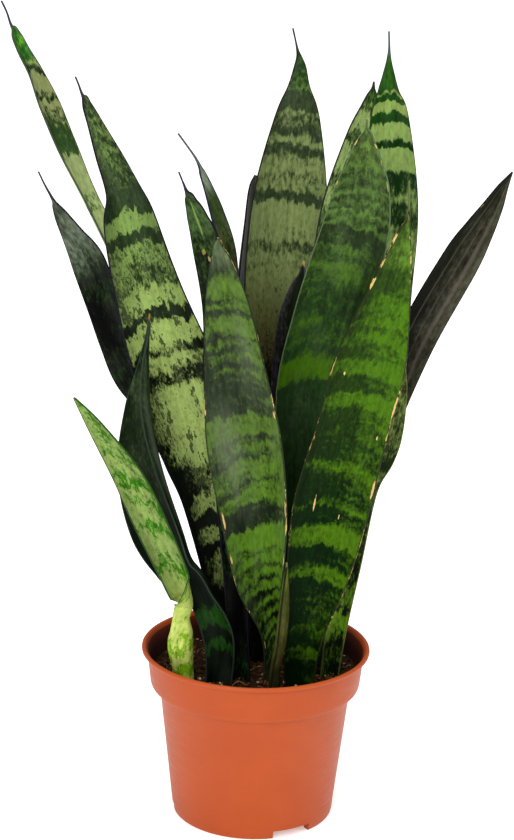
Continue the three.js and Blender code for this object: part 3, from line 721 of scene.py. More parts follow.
def new_group(name, inputs, outputs):
    """Shader group; inputs and outputs are labels under their kind of socket."""
    group = bpy.data.node_groups.new(name, "ShaderNodeTree")
    for way, sockets in (("INPUT", inputs), ("OUTPUT", outputs)):
        for kind, labels in sockets.items():
            for label in labels:
                group.interface.new_socket(label, in_out=way, socket_type="NodeSocket" + kind)
    entry = group.nodes.new("NodeGroupInput").outputs
    leave = group.nodes.new("NodeGroupOutput").inputs
    return group, entry, leave


def use_group(tree, group, inputs):
    return put(tree, "ShaderNodeGroup", inputs, node_tree=group).outputs


def new_material(name):
    material = bpy.data.materials.new(name)
    material.use_nodes = True
    tree = material.node_tree
    return material, tree, tree.nodes["Principled BSDF"]


def dress(tree, surface, colour, roughness, gloss):
    feed(tree, surface.inputs["Base Color"], colour)
    feed(tree, surface.inputs["Roughness"], roughness)
    surface.inputs["Specular IOR Level"].default_value = gloss


def relief(tree, surface, height, depth):
    """Normal of a surface whose height in metres goes from 0 to depth."""
    bump = put(tree, "ShaderNodeBump", {"Height": height, "Distance": depth, "Strength": 1.0})
    feed(tree, surface.inputs["Normal"], bump.outputs["Normal"])


# Leaf finishes

def streak_group():
    """Lengthwise streaks and blots of a leaf's skin, each about 0 from -1 to 1."""
    group, entry, leave = new_group("leaf streaks", {"Vector": ["Skin"]}, {"Float": STREAK_GRAINS})
    for label, streaks in STREAK_GRAINS.items():
        feed(group, leave[label], grain(group, entry["Skin"], *streaks))
    return group


def band_group():
    """Height at which a point reads its leaf's cross bands, with toothed and bowed edges, and
    fine cross lines that follow the bands."""
    numbers = ("Across", "Height", "Teeth", "Blot", "Tooth depth", "Arch", "Tilt", "Tilt top")
    inputs = {"Vector": ["Skin"], "Float": numbers}
    group, entry, leave = new_group("leaf bands", inputs, {"Float": ("Height", "Line")})
    bow = calc(group, "MULTIPLY", calc(group, "POWER", entry["Across"], 2.0), entry["Arch"])
    fade_from = calc(group, "SUBTRACT", entry["Tilt top"], TILT_FADE)
    fade = ease(group, entry["Height"], fade_from, entry["Tilt top"], 1.0, 0.0)
    rise = calc(group, "MULTIPLY", calc(group, "MULTIPLY", entry["Across"], entry["Tilt"]), fade)
    height = calc(group, "SUBTRACT", calc(group, "ADD", entry["Height"], bow), rise)
    depth = entry["Tooth depth"]
    height = add_up(group, height, (entry["Teeth"], depth), (entry["Blot"], depth))
    skin = split(group, entry["Skin"])
    read = put(group, "ShaderNodeCombineXYZ", {"X": skin["X"], "Y": height, "Z": skin["Z"]}).outputs[0]
    feed(group, leave["Line"], grain(group, read, *LINE_GRAIN))
    feed(group, leave["Height"], height)
    return group


def skin_group():
    """Colour, roughness and relief of a leaf from its marks, tones, margin and tip."""
    numbers = (
        "Marks", "Across", "Height", "Edge", "Teeth", "Fleck", "Mottle", "Thread", "Cloud", "Line",
        "Turn low", "Turn high", "Crown low", "Crown high", "Lean", "Softness", "Specks", "Mottling",
        "Lining", "Rims", "Rims top", "Bloom", "Margin width", "Dashes", "Spine height", "Shade",
        "Left shade", "Right shade",
    )
    colours = (
        "Dark low", "Dark high", "Dark crown", "Light low", "Light high", "Light crown",
        "Bloom colour", "Margin", "Spine",
    )
    outputs = {"Color": ["Color"], "Float": ("Roughness", "Relief")}
    group, entry, leave = new_group("leaf skin", {"Float": numbers, "Color": colours}, outputs)

    # Dark and light tone at this height, each with its veins
    turn = ease(group, entry["Height"], entry["Turn low"], entry["Turn high"])
    crown = ease(group, entry["Height"], entry["Crown low"], entry["Crown high"])
    vein = add_up(group, entry["Mottle"], (entry["Thread"], 0.9))
    tones = []
    for label, ends in VEIN_TONES.items():
        tone = blend(group, turn, entry[label + " low"], entry[label + " high"])
        tone = blend(group, crown, tone, entry[label + " crown"])
        veins = ease(group, vein, -VEIN_REACH, VEIN_REACH, *ends)
        tones.append(blend(group, 1.0, tone, veins, "MULTIPLY"))

    # Share of the light tone: the marks, broken up, with darker rims, partly the leaf's own marks
    # and partly painted shade, and with specks
    broken = add_up(group, entry["Mottle"], (entry["Fleck"], 0.7))
    level = add_up(
        group, entry["Marks"], (entry["Across"], entry["Lean"]), (broken, entry["Mottling"]),
        (entry["Line"], entry["Lining"]), (entry["Cloud"], CLOUDING))
    rims_from = calc(group, "SUBTRACT", entry["Rims top"], RIMS_FADE)
    rims = ease(group, entry["Height"], rims_from, entry["Rims top"], 1.0, 0.0)
    outwards = calc(group, "MULTIPLY", entry["Across"], entry["Across"])
    rims = calc(group, "MULTIPLY", rims, calc(group, "MULTIPLY", entry["Rims"], outwards))
    level = calc(group, "SUBTRACT", level, rims)
    lightness = ease(group, level, calc(group, "SUBTRACT", 0.5, entry["Softness"]),
                     calc(group, "ADD", 0.5, entry["Softness"]))
    patch = add_up(group, calc(group, "MULTIPLY", entry["Mottle"], 0.8), (entry["Cloud"], 0.7))
    patch = calc(group, "SUBTRACT", patch, calc(group, "SUBTRACT", 1.0, entry["Specks"]))
    speck = ease(group, patch, 0.0, 0.25)
    lightness = calc(group, "MULTIPLY", lightness,
                     calc(group, "MULTIPLY_ADD", speck, -SPECK_DARKENING, 1.0))
    dark, light = tones
    colour = blend(group, lightness, dark, light)

    # Wax bloom, partly real wax and partly a painted sheen; margin, dried dashes and tip
    wax_and_sheen = calc(group, "MULTIPLY", ease(group, entry["Cloud"], -0.6, 1.3), entry["Bloom"])
    colour = blend(group, wax_and_sheen, colour, entry["Bloom colour"])
    edge = add_up(group, entry["Edge"], (entry["Fleck"], MARGIN_WANDER))
    half_margin = calc(group, "MULTIPLY", entry["Margin width"], 0.5)
    rim = ease(group, edge, half_margin, entry["Margin width"], 1.0, 0.0)
    colour = blend(group, rim, colour, entry["Margin"])
    dry = add_up(group, entry["Cloud"], (entry["Fleck"], 0.3), (entry["Teeth"], 0.8))
    dry = ease(group, calc(group, "ADD", dry, entry["Dashes"]), 1.2, 1.45)
    dash = calc(group, "MULTIPLY", dry, ease(group, edge, *DASH_REACH, 1.0, 0.0))
    colour = blend(group, dash, colour, paint(DASH_TONE))
    spine_top = calc(group, "ADD", entry["Spine height"], SPINE_FADE)
    tip = ease(group, entry["Height"], entry["Spine height"], spine_top)
    colour = blend(group, tip, colour, entry["Spine"])

    # Painted shade by height and towards the sides
    left = ease(group, entry["Across"], -1.0, -0.1, entry["Left shade"], 1.0)
    right = ease(group, entry["Across"], 0.1, 1.0, 1.0, entry["Right shade"])
    shade = calc(group, "MULTIPLY", entry["Shade"], calc(group, "MULTIPLY", left, right))
    feed(group, leave["Color"], blend(group, 1.0, colour, shade, "MULTIPLY"))
    rough = ease(group, entry["Cloud"], -1.5, 1.5, 0.44, 0.6)
    feed(group, leave["Roughness"], add_up(group, rough, (entry["Fleck"], 0.03)))
    threads = calc(group, "MULTIPLY_ADD", entry["Thread"], 0.35, 0.5)
    feed(group, leave["Relief"], add_up(group, threads, (entry["Mottle"], 0.15)))
    return group


def scar_and_painted_light_group():
    """Mask of one patch: an oval at a place across and up the leaf, full within its core and
    with a ragged edge. It lays the leaf's scars and its painted sheens and painted shade."""
    numbers = (
        "Across", "Height", "Ragged", "At across", "At height", "Half width", "Half length", "Core",
    )
    group, entry, leave = new_group("leaf scar and painted light", {"Float": numbers}, {"Float": ["Mask"]})
    ways = (("Across", "At across", "Half width"), ("Height", "At height", "Half length"))
    squares = []
    for way, middle, half in ways:
        distance = calc(group, "DIVIDE", calc(group, "SUBTRACT", entry[way], entry[middle]), entry[half])
        squares.append(calc(group, "MULTIPLY", distance, distance))
    reach = calc(group, "SQRT", calc(group, "ADD", *squares))
    reach = add_up(group, reach, (entry["Ragged"], 0.35))
    feed(group, leave["Mask"], ease(group, reach, entry["Core"], 1.1, 1.0, 0.0))
    return group


STREAKS = streak_group()
BANDS = band_group()
SKIN = skin_group()
SCAR_AND_PAINTED_LIGHT = scar_and_painted_light_group()


def marks_level(tree, height, marks):
    """Value at a height between turning points, which are values by height. A ramp holds only
    some of them, so each further ramp takes over where the one before it ends."""
    marks = list(marks.items())
    level = None
    for first in range(0, len(marks) - 1, RAMP_STOPS - 1):
        stretch = marks[first:first + RAMP_STOPS]
        low = stretch[0][0]
        high = stretch[-1][0]
        span = {"Value": height, "From Min": low * MM, "From Max": high * MM}
        place = put(tree, "ShaderNodeMapRange", span)
        ramp = put(tree, "ShaderNodeValToRGB", {"Fac": place.outputs["Result"]})
        stops = ramp.color_ramp.elements
        while len(stops) < len(stretch):
            stops.new(1.0)
        for stop, (mark_height, lightness) in zip(stops, stretch):
            stop.position = (mark_height - low) / (high - low)
            stop.color = (lightness, lightness, lightness, 1.0)
        if level is None:
            level = ramp.outputs["Color"]
        else:
            above = calc(tree, "GREATER_THAN", height, low * MM)
            level = blend(tree, above, level, ramp.outputs["Color"])
    return level


def skin_values(finish):
    """Inputs of the skin group that a finish gives as numbers and tones."""
    crown_low, crown_high, dark_crown, light_crown = finish["crown"]
    spine_height, spine_tone = finish["spine"]
    left_shade, right_shade = finish["sides"]
    rims, rims_top = finish["rims"]
    heights = {
        "Turn low": finish["turn"][0], "Turn high": finish["turn"][1],
        "Crown low": crown_low, "Crown high": crown_high, "Rims top": rims_top,
        "Margin width": finish["margin_width"], "Spine height": spine_height,
    }
    tones = {
        "Dark low": finish["dark"][0], "Dark high": finish["dark"][1], "Dark crown": dark_crown,
        "Light low": finish["light"][0], "Light high": finish["light"][1], "Light crown": light_crown,
        "Bloom colour": finish["bloom_colour"], "Margin": finish["margin"], "Spine": spine_tone,
    }
    values = {"Rims": rims, "Left shade": left_shade, "Right shade": right_shade}
    for label in ("Lean", "Softness", "Specks", "Mottling", "Lining", "Bloom", "Dashes"):
        values[label] = finish[label.lower()]
    values.update((label, height * MM) for label, height in heights.items())
    values.update((label, paint(tone)) for label, tone in tones.items())
    return values


def lay_patch(tree, colour, place, spot, core, share, tone):
    """The colour with an oval patch of the tone laid on it."""
    at_across, at_height, half_width, half_length = spot
    mask = use_group(tree, SCAR_AND_PAINTED_LIGHT, {
        **place, "Core": core, "At across": at_across, "At height": at_height * MM,
        "Half width": half_width, "Half length": half_length * MM,
    })["Mask"]
    return blend(tree, calc(tree, "MULTIPLY", mask, share), colour, paint(tone))


def leaf_material(name, finish):
    """Material of one leaf; what its finish leaves out is plain."""
    finish = {**PLAIN, **finish}
    material, tree, surface = new_material(name)
    across, height, edge = split(tree, attribute(tree, "blade"))
    place = {"Across": across, "Height": height}
    skin_place = attribute(tree, "skin")
    streaks = use_group(tree, STREAKS, {"Skin": skin_place})
    banded = use_group(tree, BANDS, {
        **place, "Skin": skin_place, "Teeth": streaks["Teeth"], "Blot": streaks["Blot"],
        "Tooth depth": finish["jag"] * MM, "Arch": finish["arch"] * MM,
        "Tilt": finish["tilt"] * MM, "Tilt top": finish["tilt_top"] * MM,
    })
    skin = use_group(tree, SKIN, {
        **place, "Edge": edge, "Marks": marks_level(tree, banded["Height"], finish["marks"]),
        **{label: streaks[label] for label in ("Teeth", "Fleck", "Mottle", "Thread", "Cloud")},
        "Line": banded["Line"], "Shade": marks_level(tree, height, finish["shade"]),
        **skin_values(finish),
    })
    colour = skin["Color"]
    place["Ragged"] = streaks["Fleck"]
    for scar in finish["scars"]:
        tone = scar[4] if len(scar) > 4 else SCAR_TONE
        colour = lay_patch(tree, colour, place, scar[:4], SCAR_CORE, 1.0, tone)
    # Painted sheens and painted shade, laid as soft patches
    place["Ragged"] = streaks["Thread"]
    for painted_patch in finish["painted_light_and_shade"]:
        share, tone = painted_patch[4:]
        colour = lay_patch(tree, colour, place, painted_patch[:4], 0.0, share, tone)
    dress(tree, surface, colour, skin["Roughness"], gloss=0.03)
    relief(tree, surface, skin["Relief"], depth=0.00018)
    return material


# Blades

def value_along(rows, position):
    """Smooth value of every column of a blade's rows at a fractional row number."""
    index = min(max(math.floor(position), 0), len(rows) - 2)
    u = position - index
    here = rows[index]
    following = rows[index + 1]
    before = rows[index - 1] if index > 0 else None
    after = rows[index + 2] if index + 2 < len(rows) else None
    values = []
    for column, start in enumerate(here):
        end = following[column]
        slope_in = (end - before[column]) / 2 if before else end - start
        slope_out = (after[column] - start) / 2 if after else end - start
        values.append(start * (2 * u ** 3 - 3 * u ** 2 + 1) + slope_in * (u ** 3 - 2 * u ** 2 + u)
                      + end * (3 * u ** 2 - 2 * u ** 3) + slope_out * (u ** 3 - u ** 2))
    return values


def blade_station(name, rows, position):
    """The blade at a fractional row number: midrib, axes, width, bend and thickness."""
    last = len(rows) - 1
    x, y, z, row_width, facing, bend = value_along(rows, position)
    below = Vector(value_along(rows, max(position - MIDRIB_STEP, 0))[:3])
    above = Vector(value_along(rows, min(position + MIDRIB_STEP, last))[:3])
    up = (above - below).normalized()
    face = Vector((math.sin(math.radians(facing)), -math.cos(math.radians(facing)), 0))
    face = (face - up * face.dot(up)).normalized()
    share = position / last
    wave = 1 + MARGIN_WAVE * math.sin(MARGIN_WAVE_RADIANS * share + len(name))
    width = max(row_width * wave, SPINE_WIDTH)
    thickness = ROOT_THICKNESS + (TIP_THICKNESS - ROOT_THICKNESS) * math.sqrt(share)
    return Vector((x, y, z)), face, up.cross(face), width, math.radians(bend), thickness


def skin_point(station, across, sign):
    """A point of the inner face, sign 1, or of the back, sign -1."""
    midrib, face, side, width, bend, thickness = station
    radius = width / bend
    turn = across * bend / 2
    half = (MARGIN_THICKNESS + (thickness - MARGIN_THICKNESS) * (1 - across ** 2)) / 2
    half = min(half, width / 2)
    depth = radius * (1 - math.cos(turn)) + sign * half * math.cos(turn)
    offset = radius * math.sin(turn) - sign * half * math.sin(turn)
    return midrib + face * depth + side * offset


def add_object(name, content, place=(0, 0, 0)):
    made = bpy.data.objects.new(name, content)
    made.location = place
    bpy.context.scene.collection.objects.link(made)
    return made


def mesh_object(name, points, faces, material, smooth=True):
    mesh = bpy.data.meshes.new(name)
    mesh.from_pydata(points, [], faces)
    mesh.polygons.foreach_set("use_smooth", [smooth] * len(mesh.polygons))
    mesh.materials.append(material)
    mesh.validate()
    return add_object(name, mesh)


def store(made, name, vectors):
    layer = made.data.attributes.new(name, "FLOAT_VECTOR", "POINT")
    layer.data.foreach_set("vector", [value for vector in vectors for value in vector])


def build_blade(node, rows, shift):
    """One closed blade, with the marks that its finish reads: place across, height, distance
    from the margin, and the skin's own two lengths with the shift of its grain."""
    columns = [-math.cos(math.pi * i / (BLADE_COLUMNS - 1)) for i in range(BLADE_COLUMNS)]
    around = [(across, 1) for across in columns] + [(across, -1) for across in reversed(columns)]
    count = (len(rows) - 1) * BLADE_STEPS
    points = []
    blade = []
    skin = []
    along = 0.0
    before = Vector(rows[0][:3])
    for ring in range(count + 1):
        station = blade_station(node, rows, ring / BLADE_STEPS)
        midrib = station[0]
        half_width = station[3] / 2
        along += (midrib - before).length
        before = midrib
        for across, sign in around:
            points.append(from_axis(*skin_point(station, across, sign)))
            blade.append((across, midrib.z * MM, (1 - abs(across)) * half_width * MM))
            skin.append((across * half_width * MM, along * MM, shift + FACE_SHIFT * sign))
    faces = []
    size = len(around)
    for ring in range(count):
        for i in range(size):
            a = ring * size + i
            b = ring * size + (i + 1) % size
            faces.append((a, b, b + size, a + size))
    top = count * size
    for i in range(BLADE_COLUMNS - 1):
        opposite = size - 1 - i
        faces.append((i, opposite, opposite - 1, i + 1))
        faces.append((top + i, top + i + 1, top + opposite - 1, top + opposite))
    finish = leaf_material(node + " skin", FINISHES[node])
    made = mesh_object(node.replace("leaf", "blade"), points, faces, finish)
    store(made, "blade", blade)
    store(made, "skin", skin)
    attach(made, "root")
    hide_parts(node)


for number, (node, rows) in enumerate(BLADES.items()):
    build_blade(node, rows, LEAF_SHIFT * number)


# Pot

def plastic_material():
    material, tree, surface = new_material("terracotta plastic")
    place = object_place(tree)
    mottle = even_grain(tree, place, 0.03, 3.0)
    speck = even_grain(tree, place, 0.0007, 2.0, 5.0)
    scuff = grain(tree, place, (0.02, 0.02, 0.0015), 3.0, 9.0)
    colour = blend(tree, ease(tree, mottle, -1.2, 1.2), paint("#a24110"), paint("#a94612"))
    colour = blend(tree, ease(tree, scuff, 0.9, 1.6, 0.0, 0.25), colour, paint("#d58a68"))

    # Painted shade: darker inside, the more so the deeper, and in the groove under the band
    centred = put(tree, "ShaderNodeVectorMath", {0: place, 1: POT_AXIS}, operation="SUBTRACT")
    x, y, height = split(tree, centred.outputs["Vector"])
    radius = calc(tree, "SQRT", add_up(tree, calc(tree, "MULTIPLY", x, x), (y, y)))
    wall = ease(tree, height, BAND_FOOT_Z * MM, LIP_FOOT_Z * MM,
                (BAND_FOOT_RADIUS - 0.6) * MM, (BAND_TOP_RADIUS - 0.3) * MM)
    inner_shade = ease(tree, calc(tree, "SUBTRACT", wall, radius), 0.0, 0.0003)
    above_soil = ease(tree, height, (SOIL_Z - 8) * MM, (SOIL_Z - 7) * MM)
    depth = ease(tree, height, (SOIL_Z + 6) * MM, POT_HEIGHT * MM, 0.99, 0.7)
    inner_shade = calc(tree, "MULTIPLY", calc(tree, "MULTIPLY", inner_shade, above_soil), depth)
    colour = blend(tree, inner_shade, colour, paint("#2a0b05"))
    groove = calc(tree, "ABSOLUTE", calc(tree, "SUBTRACT", height, (BAND_FOOT_Z - 0.5) * MM))
    colour = blend(tree, ease(tree, groove, 0.0004, 0.0011, 0.45, 0.0), colour, paint("#6a2408"))
    dress(tree, surface, colour, ease(tree, scuff, -1.5, 1.5, 0.42, 0.58), gloss=0.25)
    bumps = add_up(tree, calc(tree, "MULTIPLY_ADD", mottle, 0.3, 0.5), (speck, 0.2))
    relief(tree, surface, bumps, depth=0.0001)
    return material


def pot_profile():
    """Closed outline of the pot's wall, as radius and height. Every corner is its own radius and
    height, and the points that round it, as steps outwards and upwards from there."""
    corners = [
        (FOOT_RADIUS, 0, [(-1.4, 0), (-0.9, 0.2), (-0.45, 0.8), (0, 2.5), (0.5, 8)]),
        (BODY_TOP_RADIUS, BAND_FOOT_Z, [(-0.1, -0.8), (0.5, 0)]),
        (BAND_FOOT_RADIUS, BAND_FOOT_Z, [(-2.5, 0), (-1.5, 0.4), (-0.8, 1.1), (-0.3, 2.2), (0, 3.5)]),
        (BAND_TOP_RADIUS, LIP_FOOT_Z, [(-0.1, -0.6), (0.5, -0.1)]),
        (RIM_RADIUS, LIP_FOOT_Z, [(-1.4, 0.2), (-0.6, 0.5), (-0.15, 1.1)]),
        (RIM_RADIUS, POT_HEIGHT, [(0, -1.5), (-0.15, -0.8), (-0.6, -0.25), (-1.3, 0)]),
        (RIM_RADIUS, POT_HEIGHT, [(-2.1, -0.15), (-2.8, -0.6), (-3.3, -1.5)]),
        (BAND_TOP_RADIUS - WALL, LIP_FOOT_Z, [(0.4, 0)]),
        (BAND_FOOT_RADIUS - WALL, BAND_FOOT_Z + WALL, [(0, 2.6), (-1, 0)]),
        (BODY_TOP_RADIUS - WALL, BAND_FOOT_Z + WALL, [(0, 0)]),
        (FOOT_RADIUS - WALL, FLOOR_Z + WALL, [(-0.4, 0)]),
        (0, FLOOR_Z, [(0, WALL), (0, 0)]),
        (FOOT_RING_INNER, FLOOR_Z, [(-1, 0), (0, -1)]),
        (FOOT_RING_INNER, 0, [(0, 0)]),
    ]
    return [(radius + out, z + up) for radius, z, steps in corners for out, up in steps]


def ring_of_points(x, y, z, radius, sides):
    """Points of a level circle about a place in millimetres from the pot's axis."""
    angles = [2 * math.pi * i / sides for i in range(sides)]
    return [from_axis(x + radius * math.cos(a), y + radius * math.sin(a), z) for a in angles]


def lathe(profile, sides):
    """Points and faces of a closed profile turned about the pot's axis."""
    points = []
    rings = []
    for radius, z in profile:
        if radius == 0:
            rings.append([len(points)] * sides)
            points.append(from_axis(0, 0, z))
        else:
            rings.append(range(len(points), len(points) + sides))
            points.extend(ring_of_points(0, 0, z, radius, sides))
    faces = []
    for ring, following in zip(rings, rings[1:] + rings[:1]):
        for i in range(sides):
            j = (i + 1) % sides
            corners = list(dict.fromkeys((ring[i], ring[j], following[j], following[i])))
            if len(corners) > 2:
                faces.append(corners)
    return points, faces


def foot_notch(azimuth):
    """Corners and faces of the box that cuts one notch into the pot's foot."""
    angle = math.radians(azimuth)
    points = []
    for x in (NOTCH_RADIUS - NOTCH_LENGTH / 2, NOTCH_RADIUS + NOTCH_LENGTH / 2):
        for y in (-NOTCH_WIDTH / 2, NOTCH_WIDTH / 2):
            for z in (-NOTCH_HEIGHT, NOTCH_HEIGHT):
                points.append(from_axis(x * math.cos(angle) - y * math.sin(angle),
                                        x * math.sin(angle) + y * math.cos(angle), z))
    faces = [(0, 1, 3, 2), (4, 6, 7, 5), (0, 4, 5, 1), (2, 3, 7, 6), (0, 2, 6, 4), (1, 5, 7, 3)]
    return points, faces


def drain_rod(angle):
    """Points and faces of the upright rod that cuts one drain hole."""
    x = DRAIN_RING * math.cos(angle)
    y = DRAIN_RING * math.sin(angle)
    sides = DRAIN_SIDES
    points = []
    for z in (FLOOR_Z - 3 * WALL, FLOOR_Z + 3 * WALL):
        points.extend(ring_of_points(x, y, z, DRAIN_RADIUS, sides))
    faces = [(i, (i + 1) % sides, sides + (i + 1) % sides, sides + i) for i in range(sides)]
    faces.append(tuple(reversed(range(sides))))
    faces.append(tuple(range(sides, 2 * sides)))
    return points, faces


def join_parts(parts):
    points = []
    faces = []
    for part_points, part_faces in parts:
        start = len(points)
        points.extend(part_points)
        faces.extend(tuple(start + i for i in face) for face in part_faces)
    return points, faces


def cut_away(made, tool):
    """Take the tool's volume out of a piece, and drop the tool."""
    modifier = made.modifiers.new("cut", "BOOLEAN")
    modifier.operation = "DIFFERENCE"
    modifier.object = tool
    modifier.solver = "EXACT"
    ready = made.evaluated_get(bpy.context.evaluated_depsgraph_get())
    mesh = bpy.data.meshes.new_from_object(ready)
    made.modifiers.clear()
    made.data = mesh
    bpy.data.objects.remove(tool)


def build_pot():
    plastic = plastic_material()
    pot = mesh_object("pot_moulded", *lathe(pot_profile(), POT_SIDES), plastic)
    openings = [foot_notch(azimuth) for azimuth in NOTCH_AZIMUTHS]
    openings += [drain_rod(2 * math.pi * (i + 0.5) / DRAIN_COUNT) for i in range(DRAIN_COUNT)]
    cut_away(pot, mesh_object("pot_openings", *join_parts(openings), plastic, smooth=False))
    pot.data.set_sharp_from_angle(angle=POT_SHARP_ANGLE)
    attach(pot, "root")
    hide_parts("pot")


build_pot()


# Soil

def soil_height(x, y):
    """Height of the soil's lumpy crown, the same as the frame's."""
    share = min(math.hypot(x, y) / SOIL_RADIUS, 1)
    lumps = (math.sin(0.21 * x + 1.3) * math.cos(0.17 * y) + 0.6 * math.sin(0.43 * x - 0.37 * y + 2)
             + 0.5 * math.cos(0.31 * x + 0.53 * y))
    return SOIL_Z + SOIL_CROWN * (1 - share ** 2) + SOIL_RELIEF * lumps * (1 - share ** 6)


def soil_material():
    material, tree, surface = new_material("potting soil")
    place = object_place(tree)
    crumb = even_grain(tree, place, 0.0022, 4.0)
    patch = even_grain(tree, place, 0.012, 2.0, 4.0)
    colour = blend(tree, ease(tree, crumb, -0.8, 1.2), paint("#0e0603"), paint("#43290f"))
    colour = blend(tree, ease(tree, patch, 0.0, 1.5, 0.0, 0.6), colour, paint("#2a140c"))
    dress(tree, surface, colour, ease(tree, crumb, -1.0, 1.0, 0.98, 0.82), gloss=0.08)
    relief(tree, surface, calc(tree, "MULTIPLY_ADD", crumb, 0.3, 0.5), depth=0.0012)
    return material


def crumb_material():
    """Earth or pale wood by the tone that each grain carries."""
    material, tree, surface = new_material("soil crumbs")
    tone = split(tree, attribute(tree, "tone"))
    fine = even_grain(tree, object_place(tree), 0.0008, 3.0)
    earth = blend(tree, tone["X"], paint("#0e0603"), paint("#5c3c1c"))
    pale = blend(tree, ease(tree, fine, -1, 1), paint("#8d7350"), paint("#c9b78f"))
    colour = blend(tree, tone["Y"], earth, pale)
    colour = blend(tree, ease(tree, fine, -1.2, 1.2, 0.35, 0.0), colour, paint("#120a07"))
    dress(tree, surface, colour, ease(tree, fine, -1.0, 1.0, 0.95, 0.75), gloss=0.08)
    relief(tree, surface, calc(tree, "MULTIPLY_ADD", fine, 0.3, 0.5), depth=0.0004)
    return material


# A ball of twenty triangles, from which each lump is made
GOLD = (1 + math.sqrt(5)) / 2
LUMP_POINTS = [Vector(p).normalized() for p in (
    (-1, GOLD, 0), (1, GOLD, 0), (-1, -GOLD, 0), (1, -GOLD, 0), (0, -1, GOLD), (0, 1, GOLD),
    (0, -1, -GOLD), (0, 1, -GOLD), (GOLD, 0, -1), (GOLD, 0, 1), (-GOLD, 0, -1), (-GOLD, 0, 1))]
LUMP_FACES = [
    (0, 11, 5), (0, 5, 1), (0, 1, 7), (0, 7, 10), (0, 10, 11), (1, 5, 9), (5, 11, 4), (11, 10, 2),
    (10, 7, 6), (7, 1, 8), (3, 9, 4), (3, 4, 2), (3, 2, 6), (3, 6, 8), (3, 8, 9), (4, 9, 5),
    (2, 4, 11), (6, 2, 10), (8, 6, 7), (9, 8, 1)]


def lump(chance, centre, size, flatness):
    """A rough crumb: a jittered ball, turned and flattened, in millimetres."""
    spin = Matrix.Rotation(chance.uniform(0, math.tau), 3, "Z")
    spin = spin @ Matrix.Rotation(chance.uniform(-0.4, 0.4), 3, "X")
    stretch = Vector((chance.uniform(0.8, 1.3), chance.uniform(0.7, 1.0), flatness))
    points = []
    for corner in LUMP_POINTS:
        reach = size * chance.uniform(0.75, 1.15)
        points.append(from_axis(*(centre + spin @ (corner * reach * stretch))))
    return points, LUMP_FACES


def fibre(chance, start, length, thickness):
    """A bent thread of peat or root that lies on the soil."""
    heading = chance.uniform(0, math.tau)
    bend = chance.uniform(-0.5, 0.5)
    points = []
    place = start.copy()
    for i in range(FIBRE_STEPS + 1):
        side = Vector((-math.sin(heading), math.cos(heading), 0)) * thickness
        rise = soil_height(place.x, place.y) + 0.5 + 0.5 * math.sin(math.pi * i / FIBRE_STEPS)
        middle = Vector((place.x, place.y, rise))
        for offset in (-side, side, Vector((0, 0, thickness * 1.4))):
            points.append(from_axis(*(middle + offset)))
        place += Vector((math.cos(heading), math.sin(heading), 0)) * (length / FIBRE_STEPS)
        heading += bend
    end = 3 * FIBRE_STEPS
    faces = [(0, 2, 1), (end, end + 1, end + 2)]
    for i in range(FIBRE_STEPS):
        for a, b in ((0, 1), (1, 2), (2, 0)):
            faces.append((3 * i + a, 3 * i + b, 3 * i + 3 + b, 3 * i + 3 + a))
    return points, faces


def loose_grains():
    """Crumbs, chips and fibres, each with its tone: lightness of the earth, and paleness."""
    chance = random.Random(GRAIN_SEED)
    parts = []
    tones = []

    def spot(reach):
        radius = reach * math.sqrt(chance.random())
        angle = chance.uniform(0, math.tau)
        x = radius * math.cos(angle)
        y = radius * math.sin(angle)
        return Vector((x, y, soil_height(x, y)))

    for i in range(CRUMB_COUNT):
        size = CRUMB_SIZE[0] + (CRUMB_SIZE[1] - CRUMB_SIZE[0]) * chance.random() ** SMALLNESS
        centre = spot(SOIL_RADIUS - size - 0.6) + Vector((0, 0, 0.25 * size))
        parts.append(lump(chance, centre, size, chance.uniform(*CRUMB_FLATNESS)))
        earth = chance.random() ** DARKNESS
        tones.append((earth, 1.0 if chance.random() < PALE_CRUMB_SHARE else 0.0, 0.0))
    for i in range(CHIP_COUNT):
        size = chance.uniform(*CHIP_SIZE)
        centre = spot(SOIL_RADIUS - size - 1) + Vector((0, 0, 0.5 * size))
        parts.append(lump(chance, centre, size, CHIP_FLATNESS))
        tones.append((0.6, chance.uniform(0.3, 0.9), 0.0))
    for i in range(FIBRE_COUNT):
        length = chance.uniform(*FIBRE_LENGTH)
        start = spot(SOIL_RADIUS - length - 2)
        parts.append(fibre(chance, start, length, chance.uniform(*FIBRE_THICKNESS)))
        tones.append((1.0, chance.uniform(0.0, 0.6), 0.0))
    return parts, tones


def build_soil():
    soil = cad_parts["soil"]
    soil.data.materials.clear()
    soil.data.materials.append(soil_material())
    parts, tones = loose_grains()
    crumbs = mesh_object("soil_crumbs", *join_parts(parts), crumb_material(), smooth=False)
    store(crumbs, "tone", [tone for part, tone in zip(parts, tones) for point in part[0]])
    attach(crumbs, "root")


build_soil()


# Studio

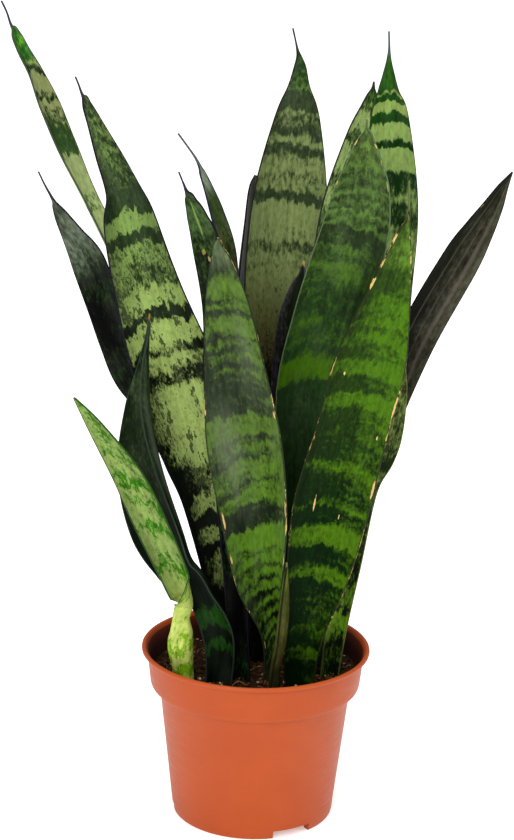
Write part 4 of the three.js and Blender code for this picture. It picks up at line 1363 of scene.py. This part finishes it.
def floor_material():
    material, tree, surface = new_material("pale floor")
    cloud = even_grain(tree, object_place(tree), 0.5)
    tone = blend(tree, ease(tree, cloud, -2, 2), paint("#f4f4f3"), paint("#f8f8f7"))
    dress(tree, surface, tone, roughness=0.9, gloss=0.1)
    surface.inputs["Emission Color"].default_value = WHITE
    surface.inputs["Emission Strength"].default_value = FLOOR_GLOW
    return material


def build_floor():
    corners = [(x * FLOOR_REACH, y * FLOOR_REACH, 0) for x, y in ((-1, -1), (1, -1), (1, 1), (-1, 1))]
    floor = mesh_object("floor", corners, [(0, 1, 2, 3)], floor_material(), smooth=False)


def softbox(name, place, side, power):
    light = bpy.data.lights.new(name, "AREA")
    light.size = side
    light.energy = power
    made = add_object(name, light, place)
    made.rotation_euler = (Vector(SOFTBOX_AIM) - Vector(place)).to_track_quat("-Z", "Y").to_euler()


def overhead_light():
    """Even soft light from straight above, which keeps the floor white to its far end."""
    light = bpy.data.lights.new("overhead light", "SUN")
    light.energy = OVERHEAD_POWER
    light.angle = OVERHEAD_SPREAD
    add_object("overhead light", light, OVERHEAD_PLACE)


def build_studio():
    build_floor()
    for name, (place, side, power) in SOFTBOXES.items():
        softbox(name, place, side, power)
    overhead_light()
    world = bpy.data.worlds.new("white studio")
    world.use_nodes = True
    background = world.node_tree.nodes["Background"]
    background.inputs["Color"].default_value = WHITE
    background.inputs["Strength"].default_value = SURROUNDING_LIGHT
    bpy.context.scene.world = world
    bpy.context.scene.view_settings.view_transform = "Standard"
    bpy.context.scene.view_settings.look = "None"


def build_camera():
    back = Vector((0, -math.cos(CAMERA_ELEVATION), math.sin(CAMERA_ELEVATION)))
    level_right = Vector((1, 0, 0))
    level_up = back.cross(level_right)
    right = level_right * math.cos(CAMERA_ROLL) + level_up * math.sin(CAMERA_ROLL)
    up = back.cross(right)
    camera = bpy.data.cameras.new("camera")
    camera.sensor_fit = "VERTICAL"
    camera.sensor_height = SENSOR_HEIGHT
    camera.lens = FOCAL_PIXELS / PHOTO_HEIGHT_PIXELS * SENSOR_HEIGHT
    camera.clip_end = 100
    place = from_axis(*CAMERA_AIM) + back * CAMERA_DISTANCE * MM
    made = add_object("camera", camera, place)
    made.matrix_world = Matrix.Translation(place) @ Matrix((right, up, back)).transposed().to_4x4()
    bpy.context.scene.camera = made


build_studio()
build_camera()
